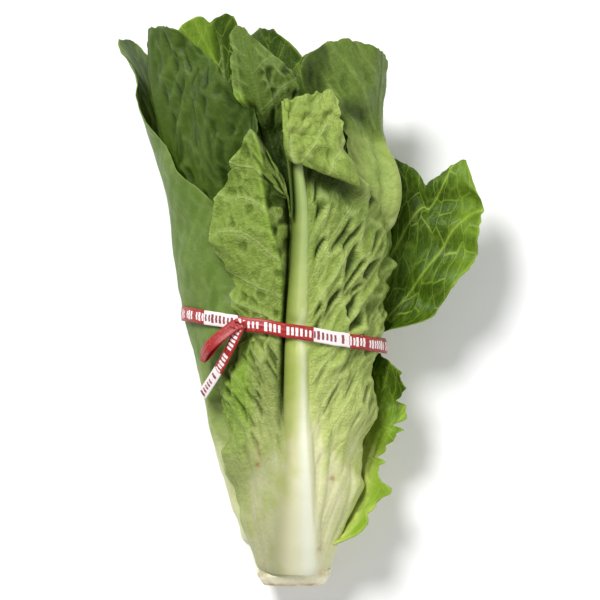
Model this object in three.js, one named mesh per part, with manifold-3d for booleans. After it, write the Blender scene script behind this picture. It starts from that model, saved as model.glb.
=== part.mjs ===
// A romaine lettuce head lying on its back leaf, held by a twist tie round the waist.
// Millimetres, +Z up. The head lies along Y: the cut butt is at -Y and the leaf tips at +Y.
// The origin is on the surface it rests on, in the middle of the flat spot under the back leaf's rib.
//
// Every leaf is a thin closed blade with a raised rib. It is laid out in polar coordinates round the
// head's axis, angle 0 at +X and 90 degrees straight up. The leaves are laid from the outside in, and
// each one is held inside the inner faces of those laid before it, so no two leaves cross.

import * as THREE from 'three';
import Module from 'manifold-3d';
import { mergeVertices } from 'three/addons/utils/BufferGeometryUtils.js';

const wasm = await Module();
wasm.setup();

const DEG = Math.PI / 180;

// ---------------------------------------------------------------- driving dimensions

const BUTT_Y = -128;            // the cut face of the stem
const LEAF_BASE_Y = -117.5;       // where the outer leaves leave the stem
const BLADE_THICKNESS = 0.8;
const CLEARANCE = 0.7;          // between one leaf and the next
const CUT_GAP = 0.3;            // kept to a neighbour where a leaf is cut clear of it
const STEM_GAP = 0.4;           // between the stem and a leaf's foot
const REST_Y = -10;             // the lowest point of the head's underside, under its weight
const FLAT_DEPTH = 1.6;         // how far the rib is pressed flat where it rests
const CROWN_LENGTH = 40;        // how far below a tip its cut edge still shifts the blade

const TIE_Y = 17;               // the tie's height where it crosses the axis
const TIE_SLOPE = -0.16;        // it runs lower towards +X
const TIE_WIDTH = 8;
const TIE_THICKNESS = 0.9;

const STEM_COLOUR = 0xd8cfa6;
const LEAF_COLOUR = 0x7d9a48;
const HEART_COLOUR = 0xb4c46e;
const TIE_COLOUR = 0xb4232a;

// ---------------------------------------------------------------- small helpers

const clamp = THREE.MathUtils.clamp;
const lerp = THREE.MathUtils.lerp;
const ease = (x) => THREE.MathUtils.smoothstep(x, 0, 1);
const bump = (x) => Math.exp(-x * x);

// A smooth curve through stations [x, value], flat past both ends.
function curve(stations) {
  const n = stations.length;
  const slope = stations.map((_, i) => {
    const a = stations[Math.max(0, i - 1)];
    const b = stations[Math.min(n - 1, i + 1)];
    return (b[1] - a[1]) / (b[0] - a[0]);
  });
  return (x) => {
    if (x <= stations[0][0]) return stations[0][1];
    if (x >= stations[n - 1][0]) return stations[n - 1][1];
    let i = 0;
    while (x > stations[i + 1][0]) i += 1;
    const [x0, y0] = stations[i];
    const [x1, y1] = stations[i + 1];
    const h = x1 - x0;
    const t = (x - x0) / h;
    const t2 = t * t;
    const t3 = t2 * t;
    return (2 * t3 - 3 * t2 + 1) * y0 + (t3 - 2 * t2 + t) * h * slope[i]
      + (3 * t2 - 2 * t3) * y1 + (t3 - t2) * h * slope[i + 1];
  };
}

// ---------------------------------------------------------------- the head's body

const halfWidth = curve([
  [-128, 20], [-113, 26.4], [-100, 32], [-80, 39], [-50, 46.4], [-22, 51.5], [17, 57.5],
  [60, 63.5], [110, 68.5], [160, 69.5], [200, 67],
]);
const depthRatio = curve([[-128, 0.96], [-80, 0.87], [17, 0.8], [200, 0.78]]);
const axisX = curve([[-128, 0], [-60, 0], [17, -4], [80, -6], [130, -14], [190, -20]]);
const stemRadius = curve([
  [-117.5, 16], [-112, 13], [-107, 11], [-100, 9], [-92, 7], [-82, 5], [-70, 3.2], [-60, 2.2],
]);

const halfDepth = (y) => halfWidth(y) * depthRatio(y);

// The underside is a very shallow arc that touches the surface at REST_Y.
const undersideRise = (y) => (y < REST_Y ? 5e-4 : 2.5e-4) * (y - REST_Y) ** 2;
const axisZ = (y) => halfDepth(y) + undersideRise(y) - FLAT_DEPTH;

// Radius of the head's outer surface at an angle.
function bodyRadius(angle, y) {
  const a = halfWidth(y);
  const b = halfDepth(y);
  return (a * b) / Math.hypot(b * Math.cos(angle), a * Math.sin(angle));
}

// A point [x, y, z] from an angle, a height along the head and a radius.
function headPoint(angle, y, radius) {
  return [axisX(y) + radius * Math.cos(angle), y, axisZ(y) + radius * Math.sin(angle)];
}

// ---------------------------------------------------------------- the room left for the next leaf

// For each angle and height, how far the room inside the laid leaves ends from the body's surface.
const ROOM_ANGLES = 120;
const ROOM_Y0 = -130;
const ROOM_STEP = 4;
const ROOM_ROWS = 90;
const ROOM_SPREAD_ANGLE = 4;    // cells; a face between two points must stay clear too
const ROOM_SPREAD_Y = 2;
const room = new Float64Array(ROOM_ANGLES * ROOM_ROWS).fill(1e3);
let spreadRoom = room.slice();

const angleCell = (angle) => {
  const turn = angle / (2 * Math.PI);
  return Math.floor((turn - Math.floor(turn)) * ROOM_ANGLES) % ROOM_ANGLES;
};
const rowCell = (y) => clamp(Math.floor((y - ROOM_Y0) / ROOM_STEP), 0, ROOM_ROWS - 1);

// Radius that the room reaches to at an angle and height.
function roomRadius(angle, y) {
  return bodyRadius(angle, y) + spreadRoom[rowCell(y) * ROOM_ANGLES + angleCell(angle)];
}

// Takes the room outside a point away.
function fillRoom([x, y, z]) {
  const dx = x - axisX(y);
  const dz = z - axisZ(y);
  const angle = Math.atan2(dz, dx);
  const cell = rowCell(y) * ROOM_ANGLES + angleCell(angle);
  room[cell] = Math.min(room[cell], Math.hypot(dx, dz) - bodyRadius(angle, y));
}

// Lets each filled cell act on its neighbours.
function spread() {
  spreadRoom = room.slice();
  for (let j = 0; j < ROOM_ROWS; j += 1) {
    for (let i = 0; i < ROOM_ANGLES; i += 1) {
      let least = 1e3;
      for (let dj = -ROOM_SPREAD_Y; dj <= ROOM_SPREAD_Y; dj += 1) {
        const row = clamp(j + dj, 0, ROOM_ROWS - 1);
        for (let di = -ROOM_SPREAD_ANGLE; di <= ROOM_SPREAD_ANGLE; di += 1) {
          const column = (i + di + ROOM_ANGLES) % ROOM_ANGLES;
          least = Math.min(least, room[row * ROOM_ANGLES + column]);
        }
      }
      spreadRoom[j * ROOM_ANGLES + i] = least;
    }
  }
}

// Fills the room outside the kept cells of a grid of points, sampled finely between them.
const FILL_STEPS = 6;
function fillGrid(grid, keep) {
  for (let i = 0; i + 1 < grid.length; i += 1) {
    for (let j = 0; j + 1 < grid[i].length; j += 1) {
      if (!keep(i, j)) continue;
      for (let p = 0; p <= FILL_STEPS; p += 1) {
        for (let q = 0; q <= FILL_STEPS; q += 1) {
          const u = p / FILL_STEPS;
          const v = q / FILL_STEPS;
          const at = (k) => lerp(
            lerp(grid[i][j][k], grid[i][j + 1][k], v),
            lerp(grid[i + 1][j][k], grid[i + 1][j + 1][k], v),
            u,
          );
          fillRoom([at(0), at(1), at(2)]);
        }
      }
    }
  }
  spread();
}

// ---------------------------------------------------------------- leaves

// Rib height over the blade, rib half-width and blade thickness, by distance from the leaf's base.
const ribHeight = curve([[0, 3.2], [20, 4.4], [35, 4.8], [90, 4], [140, 3], [200, 1.8], [260, 0.6]]);
const ribHalfWidth = curve([[0, 15], [22, 13], [48, 9.5], [90, 7.5], [140, 6], [200, 4.2], [260, 2]]);
const bladeThickness = curve([[0, 3], [20, 2], [50, 1.4], [120, 0.9], [160, BLADE_THICKNESS]]);
const RIB_INSIDE = 0.25;        // share of the rib's height that shows on the inner face
const SWELL_LENGTH = 12;        // how soon a leaf leaves the stem for its layer
const OUTER_SWELL_LENGTH = 2;   // for the outermost leaves, which stand on the stump's rim

// A plain romaine outline: half-widths on both sides, for a leaf from base to tip.
function plainOutline(base, tip, foot, clockwise, anticlockwise) {
  const shape = [
    [0.1, 0.42], [0.22, 0.5], [0.45, 0.78], [0.66, 1], [0.8, 0.98], [0.9, 0.8], [0.96, 0.52], [1, 0.14],
  ];
  const rows = shape.map(([u, w]) => [lerp(base, tip, u), w * clockwise, w * anticlockwise]);
  return [[base, foot, foot], ...rows];
}

// angle: the rib's place round the head, degrees; lean: degrees it turns per mm of height.
// layer: depth of the blade under the body's surface at the waist.
// rib: size of the rib; rows: [height, rows of faces up to the next height or the tip].
// columns: places of the points on each side, 0 at the rib's middle, 1 at its edge, 2 at the margin.
// outline: [height, half-width clockwise, half-width anticlockwise] of the flattened leaf.
// tip: from a height on, the blade follows a path of [height, outwards] steps; skew turns the path
//      lower per mm towards the clockwise side, upTo is how far anticlockwise the path acts, and the
//      end of the path is turned by some degrees more.
// crown: [side distance, height] by which the tip's edge is cut lower or stands higher.
// notch: above `to` the leaf keeps only its rib on this side, and the blade below is cut back by a
//      drop that depends on the side distance.
// wing: one side leaves the body and lies open; ruffle: [height, wave length, phase] of the margin.
// relief: extra outward offset at (side distance, height).
const PLAIN_COLUMNS = [[0, 0.55, 1, 1.3, 1.65, 2], [0, 0.55, 1, 1.3, 1.65, 2]];
const HEART_COLUMNS = [[0, 1, 1.34, 1.68, 2], [0, 1, 1.34, 1.68, 2]];
const plainRows = (base, tip, count) => [[base, 3], [base + 14, count], [tip - 24, 4]];
const leaves = [
  {
    name: 'leaf_front',
    angle: 90,
    lean: -0.06,
    layer: 0,
    rib: 1,
    rows: [[LEAF_BASE_Y, 3], [-100, 16], [106, 8], [131, 4]],
    columns: [[0, 0.5, 1, 1.25, 1.5, 1.75, 2], [0, 0.5, 1, 1.12, 1.25, 1.42, 1.6, 1.8, 2]],
    outline: [
      [LEAF_BASE_Y, 25, 25], [-105, 31, 32], [-85, 43, 43], [-60, 52, 50], [-25, 57, 53], [5, 58, 41],
      [17, 60, 35], [31, 64, 40], [55, 69, 50], [76, 66, 57], [90, 54, 55], [104, 42, 45],
      [118, 38, 36], [126, 36, 30], [131, 34, 26], [150, 31, 26], [175, 27, 26],
    ],
    tip: {
      from: 112, path: [[0, 0], [5, 3], [-2, 8.5], [6, 13], [24, 12], [40, 8]], skew: 0.45,
      upTo: 8, turn: 7,
    },
    notch: { side: 1, from: 85, to: 131, drop: [[3, 0], [7, 36], [16, 20], [26, 0]] },
    crown: [[-30, 10], [-20, 5], [-9, -2], [2, -10], [8, -13]],
    ruffle: [3, 42, 0.5],
    relief: (t, y) => {
      const groove = ease((y + 20) / 60) * ease((150 - y) / 40);
      return t > 0 ? groove * (4 * bump((t - 19) / 8) - 7 * bump((t - 8) / 4.5)) : 0;
    },
  },
  {
    name: 'leaf_back',
    angle: -90,
    lean: 0,
    layer: 0,
    rib: 1,
    rows: plainRows(LEAF_BASE_Y, 148, 17),
    columns: PLAIN_COLUMNS,
    outline: [
      [LEAF_BASE_Y, 25, 25], [-105, 30, 30], [-88, 37, 35], [-60, 42, 38], [0, 50, 44], [60, 56, 46],
      [95, 55, 45], [121, 45, 37], [137, 29, 24], [148, 8, 7],
    ],
    crown: [[-40, 0], [-24, -5], [-12, 0], [0, 3], [14, -2], [26, 1], [40, -4]],
    ruffle: [2.5, 44, 1.7],
  },
  {
    name: 'leaf_right_open',
    angle: -38,
    lean: 0,
    layer: 2.5,
    rib: 0.9,
    rows: [[-112, 3], [-94, 15], [10, 5], [24, 7], [94, 3]],
    columns: [[0, 0.55, 1, 1.5, 2], [0, 0.55, 1, 1.16, 1.32, 1.48, 1.65, 1.82, 2]],
    outline: [
      [-112, 17, 15], [-104, 23, 25], [-98, 26, 36], [-92, 28, 40], [-85, 31, 35], [-79, 32, 40],
      [-71, 34, 44], [-62, 35, 36], [-50, 36, 46],
      [-38, 37, 50], [-26, 39, 40], [-12, 41, 49], [-2, 43, 38], [8, 44, 24], [14, 44, 30],
      [20, 44, 54], [31, 45, 58], [42, 46, 64], [55, 45, 71], [70, 42, 78], [84, 38, 79.5],
      [100, 30, 79], [112, 20, 74],
    ],
    wing: {
      side: 1, from: 12, turn: 46,
      flare: [
        [-112, 0.3], [-90, 0.9], [-55, 1], [-22, 1], [-6, 0.6], [5, 0], [12, 0], [21, 0.75],
        [34, 0.95], [50, 1],
      ],
    },
    crown: [
      [20, 0], [30, 2], [36, 0], [43, -4], [46, -8], [48, -14], [51, -12], [60, -6], [70, 0],
      [74, 0], [79, -6],
    ],
    ruffle: [3.5, 30, 2.1],
  },
  {
    name: 'leaf_left',
    angle: 200,
    lean: 0,
    layer: 1.5,
    rib: 0.9,
    rows: plainRows(-112, 184, 18),
    columns: PLAIN_COLUMNS,
    outline: [
      [-112, 17, 17], [-100, 26, 25], [-85, 35, 32], [-60, 46, 39], [-20, 56, 45], [17, 64, 46],
      [50, 70, 48], [80, 67, 47], [90, 63, 45], [102, 54, 43], [113, 46, 41], [124, 38, 38],
      [135, 31, 35], [146, 25, 30], [165, 17, 20], [184, 7, 7],
    ],
    tip: { from: 118, path: [[0, 0], [22, 2], [44, 8], [60, 18]], skew: 0, upTo: 99 },
    ruffle: [1.6, 44, 0.4],
  },
  {
    name: 'leaf_right',
    angle: 12,
    lean: 0,
    layer: 4,
    rib: 0.8,
    rows: plainRows(-100, 180, 17),
    columns: PLAIN_COLUMNS,
    outline: [
      [-100, 10, 10], [-90, 16, 16], [-80, 22, 24], [-40, 34, 36], [20, 40, 44], [60, 42, 40],
      [100, 40, 31], [120, 36, 25], [134, 36, 34], [148, 36, 50], [163, 34, 56], [172, 29, 50],
      [180, 18, 36],
    ],
    tip: { from: 118, path: [[0, 0], [30, 5], [62, 8]], skew: 0, upTo: 99 },
    crown: [[-20, -15], [-10, -7], [0, -5], [12, -4], [24, -5], [36, -8]],
    ruffle: [2, 40, 1.1],
    relief: (t, y) => 9 * bump((y - 100) / 32) * bump((t + 2) / 17),
  },
  {
    name: 'leaf_upper_left',
    angle: 146,
    lean: 0.1,
    layer: 5,
    rib: 0.8,
    rows: plainRows(-100, 189, 17),
    columns: PLAIN_COLUMNS,
    outline: [
      [-100, 10, 10], [-90, 17, 16], [-80, 24, 22], [-40, 36, 32], [20, 44, 38], [80, 50, 40],
      [110, 59, 40], [124, 66, 38], [136, 69, 36], [146, 66, 33], [155, 60, 33], [164, 53, 34],
      [172, 47, 34], [180, 41, 31], [186, 35, 24], [189, 30, 16],
    ],
    crown: [[-38, -6], [-30, -2], [-20, 0], [-8, 0], [4, -3], [16, -8]],
    ruffle: [2.2, 40, 2.6],
  },
  {
    name: 'leaf_crest',
    angle: 50,
    lean: 0.187,
    layer: 10,
    rib: 0.7,
    rows: plainRows(-91, 190, 14),
    columns: PLAIN_COLUMNS,
    outline: [
      [-91, 7, 7], [-78, 14, 14], [-60, 19, 19], [-30, 24, 24], [30, 26, 26], [90, 20, 20],
      [118, 10, 10], [132, 14, 12], [150, 25, 12], [166, 21, 10], [177, 12, 8], [186, 5, 6], [190, 2, 3],
    ],
    tip: { from: 128, path: [[0, 0], [14, 5], [32, 8], [57, 4]], skew: 0, upTo: 99 },
    ruffle: [2, 34, 0.9],
  },
  {
    name: 'leaf_back_left',
    angle: 243,
    lean: 0,
    layer: 6,
    rib: 0.75,
    rows: plainRows(-95, 195, 12),
    columns: PLAIN_COLUMNS,
    outline: [
      [-95, 8, 8], [-66, 18, 18], [-31, 21, 21], [36, 33, 33], [96, 42, 42], [137, 42, 40],
      [166, 38, 33], [182, 32, 25], [190, 24, 19], [195, 13, 12],
    ],
    crown: [[-32, -6], [-22, -3], [-12, -4], [-7, -6], [0, 0], [8, 0], [16, -3], [28, -8]],
    ruffle: [2.2, 44, 0.2],
  },
  {
    name: 'leaf_back_middle',
    angle: 277,
    lean: 0,
    layer: 11,
    rib: 0.7,
    rows: plainRows(-91, 186, 10),
    columns: PLAIN_COLUMNS,
    outline: plainOutline(-91, 186, 7, 38, 36),
    crown: [[-28, -2], [-12, 1], [0, -1], [16, 1], [30, -3]],
    ruffle: [2, 44, 1.9],
  },
  {
    name: 'leaf_back_right',
    angle: 312,
    lean: 0,
    layer: 9,
    rib: 0.7,
    rows: plainRows(-95, 172, 10),
    columns: PLAIN_COLUMNS,
    outline: plainOutline(-95, 172, 8, 40, 36),
    crown: [[-30, -3], [-14, 0], [2, 2], [16, -2], [28, 0]],
    ruffle: [2, 44, 2.8],
  },
  ...[
    // Heart leaves: angle, base, tip, half-width, layer.
    [120, -86, 158, 34, 20],
    [350, -83, 150, 32, 20],
    [235, -79, 146, 26, 27],
    [75, -74, 136, 22, 32],
  ].map(([angle, base, tip, wide, layer], k) => ({
    name: `leaf_heart_${k + 1}`,
    angle,
    lean: 0,
    layer,
    rib: 0.5,
    rows: plainRows(base, tip, 8),
    columns: HEART_COLUMNS,
    heart: true,
    outline: plainOutline(base, tip, 4.5, wide, wide),
    tip: { from: tip - 45, path: [[0, 0], [22, -2], [44, -9]], skew: 0, upTo: 99 },
    ruffle: [1.6, 40, k * 1.3],
  })),
];

// Side distances of a row's points: the rib's middle and edges, then steps out to the margin.
function sideSteps(wide, rib, steps) {
  const edge = Math.min(rib, wide * 0.7);
  return steps.map((s) => (s <= 1 ? s * edge : lerp(edge, wide, s - 1)));
}

// A point on a smooth path through [height, outwards] steps, at share q of its length.
function onPath(path, q) {
  const spline = new THREE.SplineCurve(path.map(([a, b]) => new THREE.Vector2(a, b)));
  return spline.getPointAt(clamp(q, 0, 1));
}

// The blade's middle surface at a height s (before any tip path) and a side distance t.
function bladePoint(leaf, s, t, [outside, inside]) {
  const { base, end, wide } = leaf.measures;
  const distance = s - base;
  let y = s;
  let outwards = 0;
  let turned = 0;
  if (leaf.tip && s > leaf.tip.from) {
    const q = (s - leaf.tip.from) / (end - leaf.tip.from);
    const step = onPath(leaf.tip.path, q);
    const skew = leaf.tip.skew * t * ease(step.y / 8) * bump((step.y - 9) / 5);
    const share = ease((leaf.tip.upTo + 4 - t) / 8);
    y = lerp(s, leaf.tip.from + step.x + skew, share);
    outwards = step.y * share;
    turned = (leaf.tip.turn ?? 0) * ease(q) * share;
  }
  if (leaf.crown) y += leaf.measures.crown(t) * ease((s - end + CROWN_LENGTH) / CROWN_LENGTH);
  if (leaf.notch && t * leaf.notch.side > 0) {
    const { from, to } = leaf.notch;
    y -= leaf.measures.drop(Math.abs(t)) * ease((s - from) / (to - from));
  }
  const scale = bodyRadius(0, y) / bodyRadius(0, TIE_Y);
  const inset = leaf.layer * scale + ribHeight(distance) * leaf.rib;
  const mean = (halfWidth(y) + halfDepth(y)) / 2 - inset;
  const turn = clamp(t / Math.max(mean, 6), -2.1, 2.1);
  const rib = (leaf.angle + leaf.lean * (s - base) + turned) * DEG;
  const angle = rib + turn;

  // Start on the stem, then swell out to the layer.
  const stem = stemRadius(y) + STEM_GAP + inside;
  const laid = bodyRadius(angle, y) - inset;
  const swell = leaf.layer === 0 ? OUTER_SWELL_LENGTH : SWELL_LENGTH;
  let radius = lerp(Math.min(stem, laid), laid, ease(distance / swell));
  const edge = Math.abs(t) / wide(s, t);
  const [height, wave, phase] = leaf.ruffle;
  const grown = ease(distance / 70);
  const ruffle = height * grown * edge ** 2 * Math.sin((2 * Math.PI * s) / wave + phase * 4 + 0.04 * t);
  radius += ruffle + grown * 0.8 * Math.sin(0.11 * t + 0.07 * s + phase);
  if (leaf.relief) radius += leaf.relief(t, y);
  radius += outwards;

  const flare = leaf.wing && t * leaf.wing.side > leaf.wing.from ? leaf.wing.amount(s) : 0;
  if (flare > 0.02) return wingPoint(leaf, s, t, y, flare, ruffle, [outside, inside]);
  if (outwards < 3) {
    radius = Math.min(radius, roomRadius(angle, y) - CLEARANCE - outside);
  }
  return headPoint(angle, y, Math.max(radius, stem));
}

// A point of a side that leaves the body at wing.from and lies open.
const WING_STEP = 2;
function wingPoint(leaf, s, t, y, flare, ruffle, sides) {
  const { side, from, turn } = leaf.wing;
  const root = bladePoint(leaf, s, side * from, sides);
  const mean = (halfWidth(y) + halfDepth(y)) / 2;
  const angle = Math.atan2(root[2] - axisZ(y), root[0] - axisX(y));
  const length = Math.abs(t) - from;
  let x = root[0];
  let z = root[2];
  let heading = 0;
  for (let d = 0; d < length; d += WING_STEP) {
    const step = Math.min(WING_STEP, length - d);
    const wrap = ((1 - flare) * d) / mean;
    heading = angle + side * (Math.PI / 2 + wrap - flare * turn * DEG * ease(d / 22));
    x += step * Math.cos(heading);
    z += step * Math.sin(heading);
  }
  const push = ruffle * 1.2;
  return [x - push * Math.sin(heading), y, z + push * Math.cos(heading)];
}

// Outward and inward half-thickness of the blade, with the rib's bulge.
function thickness(leaf, s, t) {
  const distance = s - leaf.measures.base;
  const across = clamp(Math.abs(t) / (ribHalfWidth(distance) * leaf.rib), 0, 1);
  const rib = ribHeight(distance) * leaf.rib * Math.sqrt(1 - across ** 2);
  const blade = Math.max(bladeThickness(distance) * leaf.rib, BLADE_THICKNESS) / 2;
  return [blade + rib, blade + rib * RIB_INSIDE];
}

// Heights of a leaf's rows of points.
function rowHeights(leaf) {
  const { end } = leaf.measures;
  const heights = leaf.rows.flatMap(([from, count], k) => {
    const to = k + 1 < leaf.rows.length ? leaf.rows[k + 1][0] : end;
    return Array.from({ length: count }, (_, i) => lerp(from, to, i / count));
  });
  return [...heights, end];
}

// Grids of points on a leaf's outer and inner faces, `grow` larger all round than the leaf itself.
function leafGrids(leaf, grow) {
  const { base, wide } = leaf.measures;
  const [clockwise, anticlockwise] = leaf.columns;
  const sides = rowHeights(leaf).map((s) => {
    const ribEdge = ribHalfWidth(s - base) * leaf.rib;
    const right = sideSteps(wide(s, -1), ribEdge, clockwise).map((t) => -t).reverse();
    const left = sideSteps(wide(s, 1), ribEdge, anticlockwise).slice(1);
    return [...right, ...left].map((t) => ({ s, t, depth: thickness(leaf, s, t) }));
  });
  const middle = sides.map((row) => row.map(({ s, t, depth }) => (
    new THREE.Vector3(...bladePoint(leaf, s, t, depth)))));
  const face = (k, sign) => middle.map((row, i) => row.map((point, j) => {
    const offset = sign * (sides[i][j].depth[k] + grow);
    return point.clone()
      .addScaledVector(gridNormal(middle, i, j), offset)
      .addScaledVector(edgeDirection(middle, i, j), grow)
      .toArray();
  }));
  return { outer: face(0, 1), inner: face(1, -1), keep: keptFaces(leaf) };
}

// Tells which cells of a leaf's grid are part of the leaf.
function keptFaces(leaf) {
  if (!leaf.notch) return () => true;
  const { side, to } = leaf.notch;
  const heights = rowHeights(leaf);
  const middle = leaf.columns[0].length - 1;
  const ribSteps = leaf.columns[side > 0 ? 1 : 0].indexOf(1);
  return (i, j) => {
    const out = side > 0 ? j - middle : middle - 1 - j;
    return heights[i] < to || out < ribSteps;
  };
}

// Which way a point on the edge of a grid faces, zero inside the grid.
function edgeDirection(grid, i, j) {
  const away = new THREE.Vector3();
  const add = (a, b) => away.add(grid[i][j].clone().sub(grid[a][b]).normalize());
  if (i === 0) add(1, j);
  if (i === grid.length - 1) add(i - 1, j);
  if (j === 0) add(i, 1);
  if (j === grid[0].length - 1) add(i, j - 1);
  return away;
}

// The normal of a grid of points, on the leaf's outer side.
function gridNormal(grid, i, j) {
  const rows = grid.length - 1;
  const columns = grid[0].length - 1;
  const along = grid[Math.min(rows, i + 1)][j].clone().sub(grid[Math.max(0, i - 1)][j]);
  const across = grid[i][Math.min(columns, j + 1)].clone().sub(grid[i][Math.max(0, j - 1)]);
  return along.cross(across).normalize();
}

// ---------------------------------------------------------------- solids

// A closed solid from the kept cells of two matching grids of points, joined round their edges.
function shellSolid({ outer, inner, keep }) {
  const rows = outer.length - 1;
  const columns = outer[0].length - 1;
  const points = [...outer.flat(), ...inner.flat()];
  const a = ([i, j]) => i * (columns + 1) + j;
  const b = (place) => (rows + 1) * (columns + 1) + a(place);
  const kept = (i, j) => i >= 0 && j >= 0 && i < rows && j < columns && keep(i, j);
  const faces = [];
  for (let i = 0; i < rows; i += 1) {
    for (let j = 0; j < columns; j += 1) {
      if (!kept(i, j)) continue;
      const [p, q, r, s] = [[i, j], [i + 1, j], [i + 1, j + 1], [i, j + 1]];
      faces.push([a(p), a(q), a(r)], [a(p), a(r), a(s)], [b(p), b(r), b(q)], [b(p), b(s), b(r)]);
      const edges = [[p, q, i, j - 1], [q, r, i + 1, j], [r, s, i, j + 1], [s, p, i - 1, j]];
      for (const [from, to, besideI, besideJ] of edges) {
        if (kept(besideI, besideJ)) continue;
        faces.push([a(to), a(from), b(from)], [a(to), b(from), b(to)]);
      }
    }
  }
  return toSolid(points, faces);
}

// A Manifold solid from points and triangles, turned the right way out.
function toSolid(points, faces) {
  let volume = 0;
  for (const [i, j, k] of faces) {
    const p = new THREE.Vector3(...points[i]);
    const q = new THREE.Vector3(...points[j]);
    const r = new THREE.Vector3(...points[k]);
    volume += p.dot(q.cross(r));
  }
  const turned = volume > 0 ? faces : faces.map(([i, j, k]) => [i, k, j]);
  return new wasm.Manifold(new wasm.Mesh({
    numProp: 3,
    vertProperties: Float32Array.from(points.flat()),
    triVerts: Uint32Array.from(turned.flat()),
  }));
}

// A Manifold solid from a closed three.js geometry.
function solidOf(geometry) {
  const bare = geometry.clone();
  bare.deleteAttribute('normal');
  bare.deleteAttribute('uv');
  const merged = mergeVertices(bare, 1e-4);
  return new wasm.Manifold(new wasm.Mesh({
    numProp: 3,
    vertProperties: Float32Array.from(merged.attributes.position.array),
    triVerts: Uint32Array.from(merged.index.array),
  }));
}

// A named three.js mesh from a solid.
function meshOf(solid, name, colour, roughness) {
  const { vertProperties, triVerts } = solid.getMesh();
  const geometry = new THREE.BufferGeometry();
  geometry.setAttribute('position', new THREE.BufferAttribute(Float32Array.from(vertProperties), 3));
  geometry.setIndex(Array.from(triVerts));
  geometry.computeVertexNormals();
  const material = new THREE.MeshStandardMaterial({
    color: colour, roughness, metalness: 0, side: THREE.DoubleSide,
  });
  const mesh = new THREE.Mesh(geometry, material);
  mesh.name = name;
  return mesh;
}

// The largest body of a solid, with loose scraps dropped.
function largest(solid) {
  const bodies = solid.decompose();
  return bodies.reduce((a, b) => (a.volume() >= b.volume() ? a : b));
}

// ---------------------------------------------------------------- stem

const CUT_RADIUS = 16.4;        // of the cut face
const STEM_RADIUS = 21.8;       // just below the leaves
const STEM_STEPS = 24;

// The cut stem: a short stump that widens up to the leaves, then a core that tapers up between them.
function stemSolid(grow) {
  const disc = [
    [0, BUTT_Y - grow], [CUT_RADIUS, BUTT_Y - grow], [CUT_RADIUS + 1.6 + grow, BUTT_Y + 1.2],
    [STEM_RADIUS + grow, LEAF_BASE_Y - 3.4], [STEM_RADIUS - 0.8, LEAF_BASE_Y - STEM_GAP + grow],
    [stemRadius(LEAF_BASE_Y) + grow, LEAF_BASE_Y - STEM_GAP + grow],
  ];
  const core = [-106, -98, -90, -80, -70].map((y) => [stemRadius(y) + grow, y]);
  const profile = [...disc, ...core, [0, -65 + grow]].map(([r, y]) => new THREE.Vector2(r, y));
  const geometry = new THREE.LatheGeometry(profile, STEM_STEPS);
  const position = geometry.getAttribute('position');
  for (let i = 0; i < position.count; i += 1) {
    const y = position.getY(i);
    position.setXYZ(i, position.getX(i) + axisX(y), y, position.getZ(i) + axisZ(y));
  }
  return solidOf(geometry);
}

// ---------------------------------------------------------------- twist tie

const BAND_STEPS = 48;
const TAIL_STEPS = 4;           // sections between two stations of a free end
const TWIST_WIDTH = 5;
const TWIST = [[117, 21, 0, 0], [120, 20.5, 2, 90], [123, 19.5, 3.2, 200], [126, 18, 3.6, 360]];
const LONG_END = [[120, 20.5, 2.2, 0], [126, 9, 4.4, 6], [137, -5, 5, 0], [153, -19, 5.5, -14]];
const FOLDED_END = [
  [120, 21, 2.6, 0], [130, 14, 6.4, 0], [141, 4, 7, 0], [143, 2.4, 8.6, 0], [135, 9, 10.6, 0],
  [122, 20.5, 3.4, 0],
];

const tieY = (angle) => TIE_Y + TIE_SLOPE * bodyRadius(angle, TIE_Y) * Math.cos(angle);

// The middle of the band at an angle, at its own height or d beside it. It never goes below the surface.
function bandPoint(angle, d) {
  const y = tieY(angle) + d;
  const [x, , z] = headPoint(angle, y, bodyRadius(angle, y));
  return new THREE.Vector3(x, y, Math.max(z, TIE_THICKNESS / 2));
}

// The tie holds the leaves in: nothing under it reaches past its inner face.
function reserveTie() {
  for (let i = 0; i < 3 * ROOM_ANGLES; i += 1) {
    const angle = (i / (3 * ROOM_ANGLES)) * 2 * Math.PI;
    const outwards = new THREE.Vector3(Math.cos(angle), 0, Math.sin(angle));
    for (let d = -TIE_WIDTH / 2; d <= TIE_WIDTH / 2; d += 1) {
      fillRoom(bandPoint(angle, d).addScaledVector(outwards, -TIE_THICKNESS / 2).toArray());
    }
  }
  spread();
}

// A ribbon through frames of [centre, across, outwards]; a closed one joins its end to its start.
function ribbonSolid(frames, width, depth, closed) {
  const corners = [[-1, -1], [1, -1], [1, 1], [-1, 1]];
  const points = frames.flatMap(([centre, across, outwards]) => corners.map(([a, b]) => (
    centre.clone().addScaledVector(across, (a * width) / 2).addScaledVector(outwards, (b * depth) / 2)
      .toArray())));
  const faces = [];
  const count = frames.length;
  for (let i = 0; i < (closed ? count : count - 1); i += 1) {
    for (let k = 0; k < 4; k += 1) {
      const [p, q] = [4 * i + k, 4 * i + ((k + 1) % 4)];
      const [r, s] = [4 * ((i + 1) % count) + k, 4 * ((i + 1) % count) + ((k + 1) % 4)];
      faces.push([p, q, s], [p, s, r]);
    }
  }
  if (!closed) {
    const end = 4 * (count - 1);
    faces.push([0, 2, 1], [0, 3, 2], [end, end + 1, end + 2], [end, end + 2, end + 3]);
  }
  return toSolid(points, faces);
}

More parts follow.
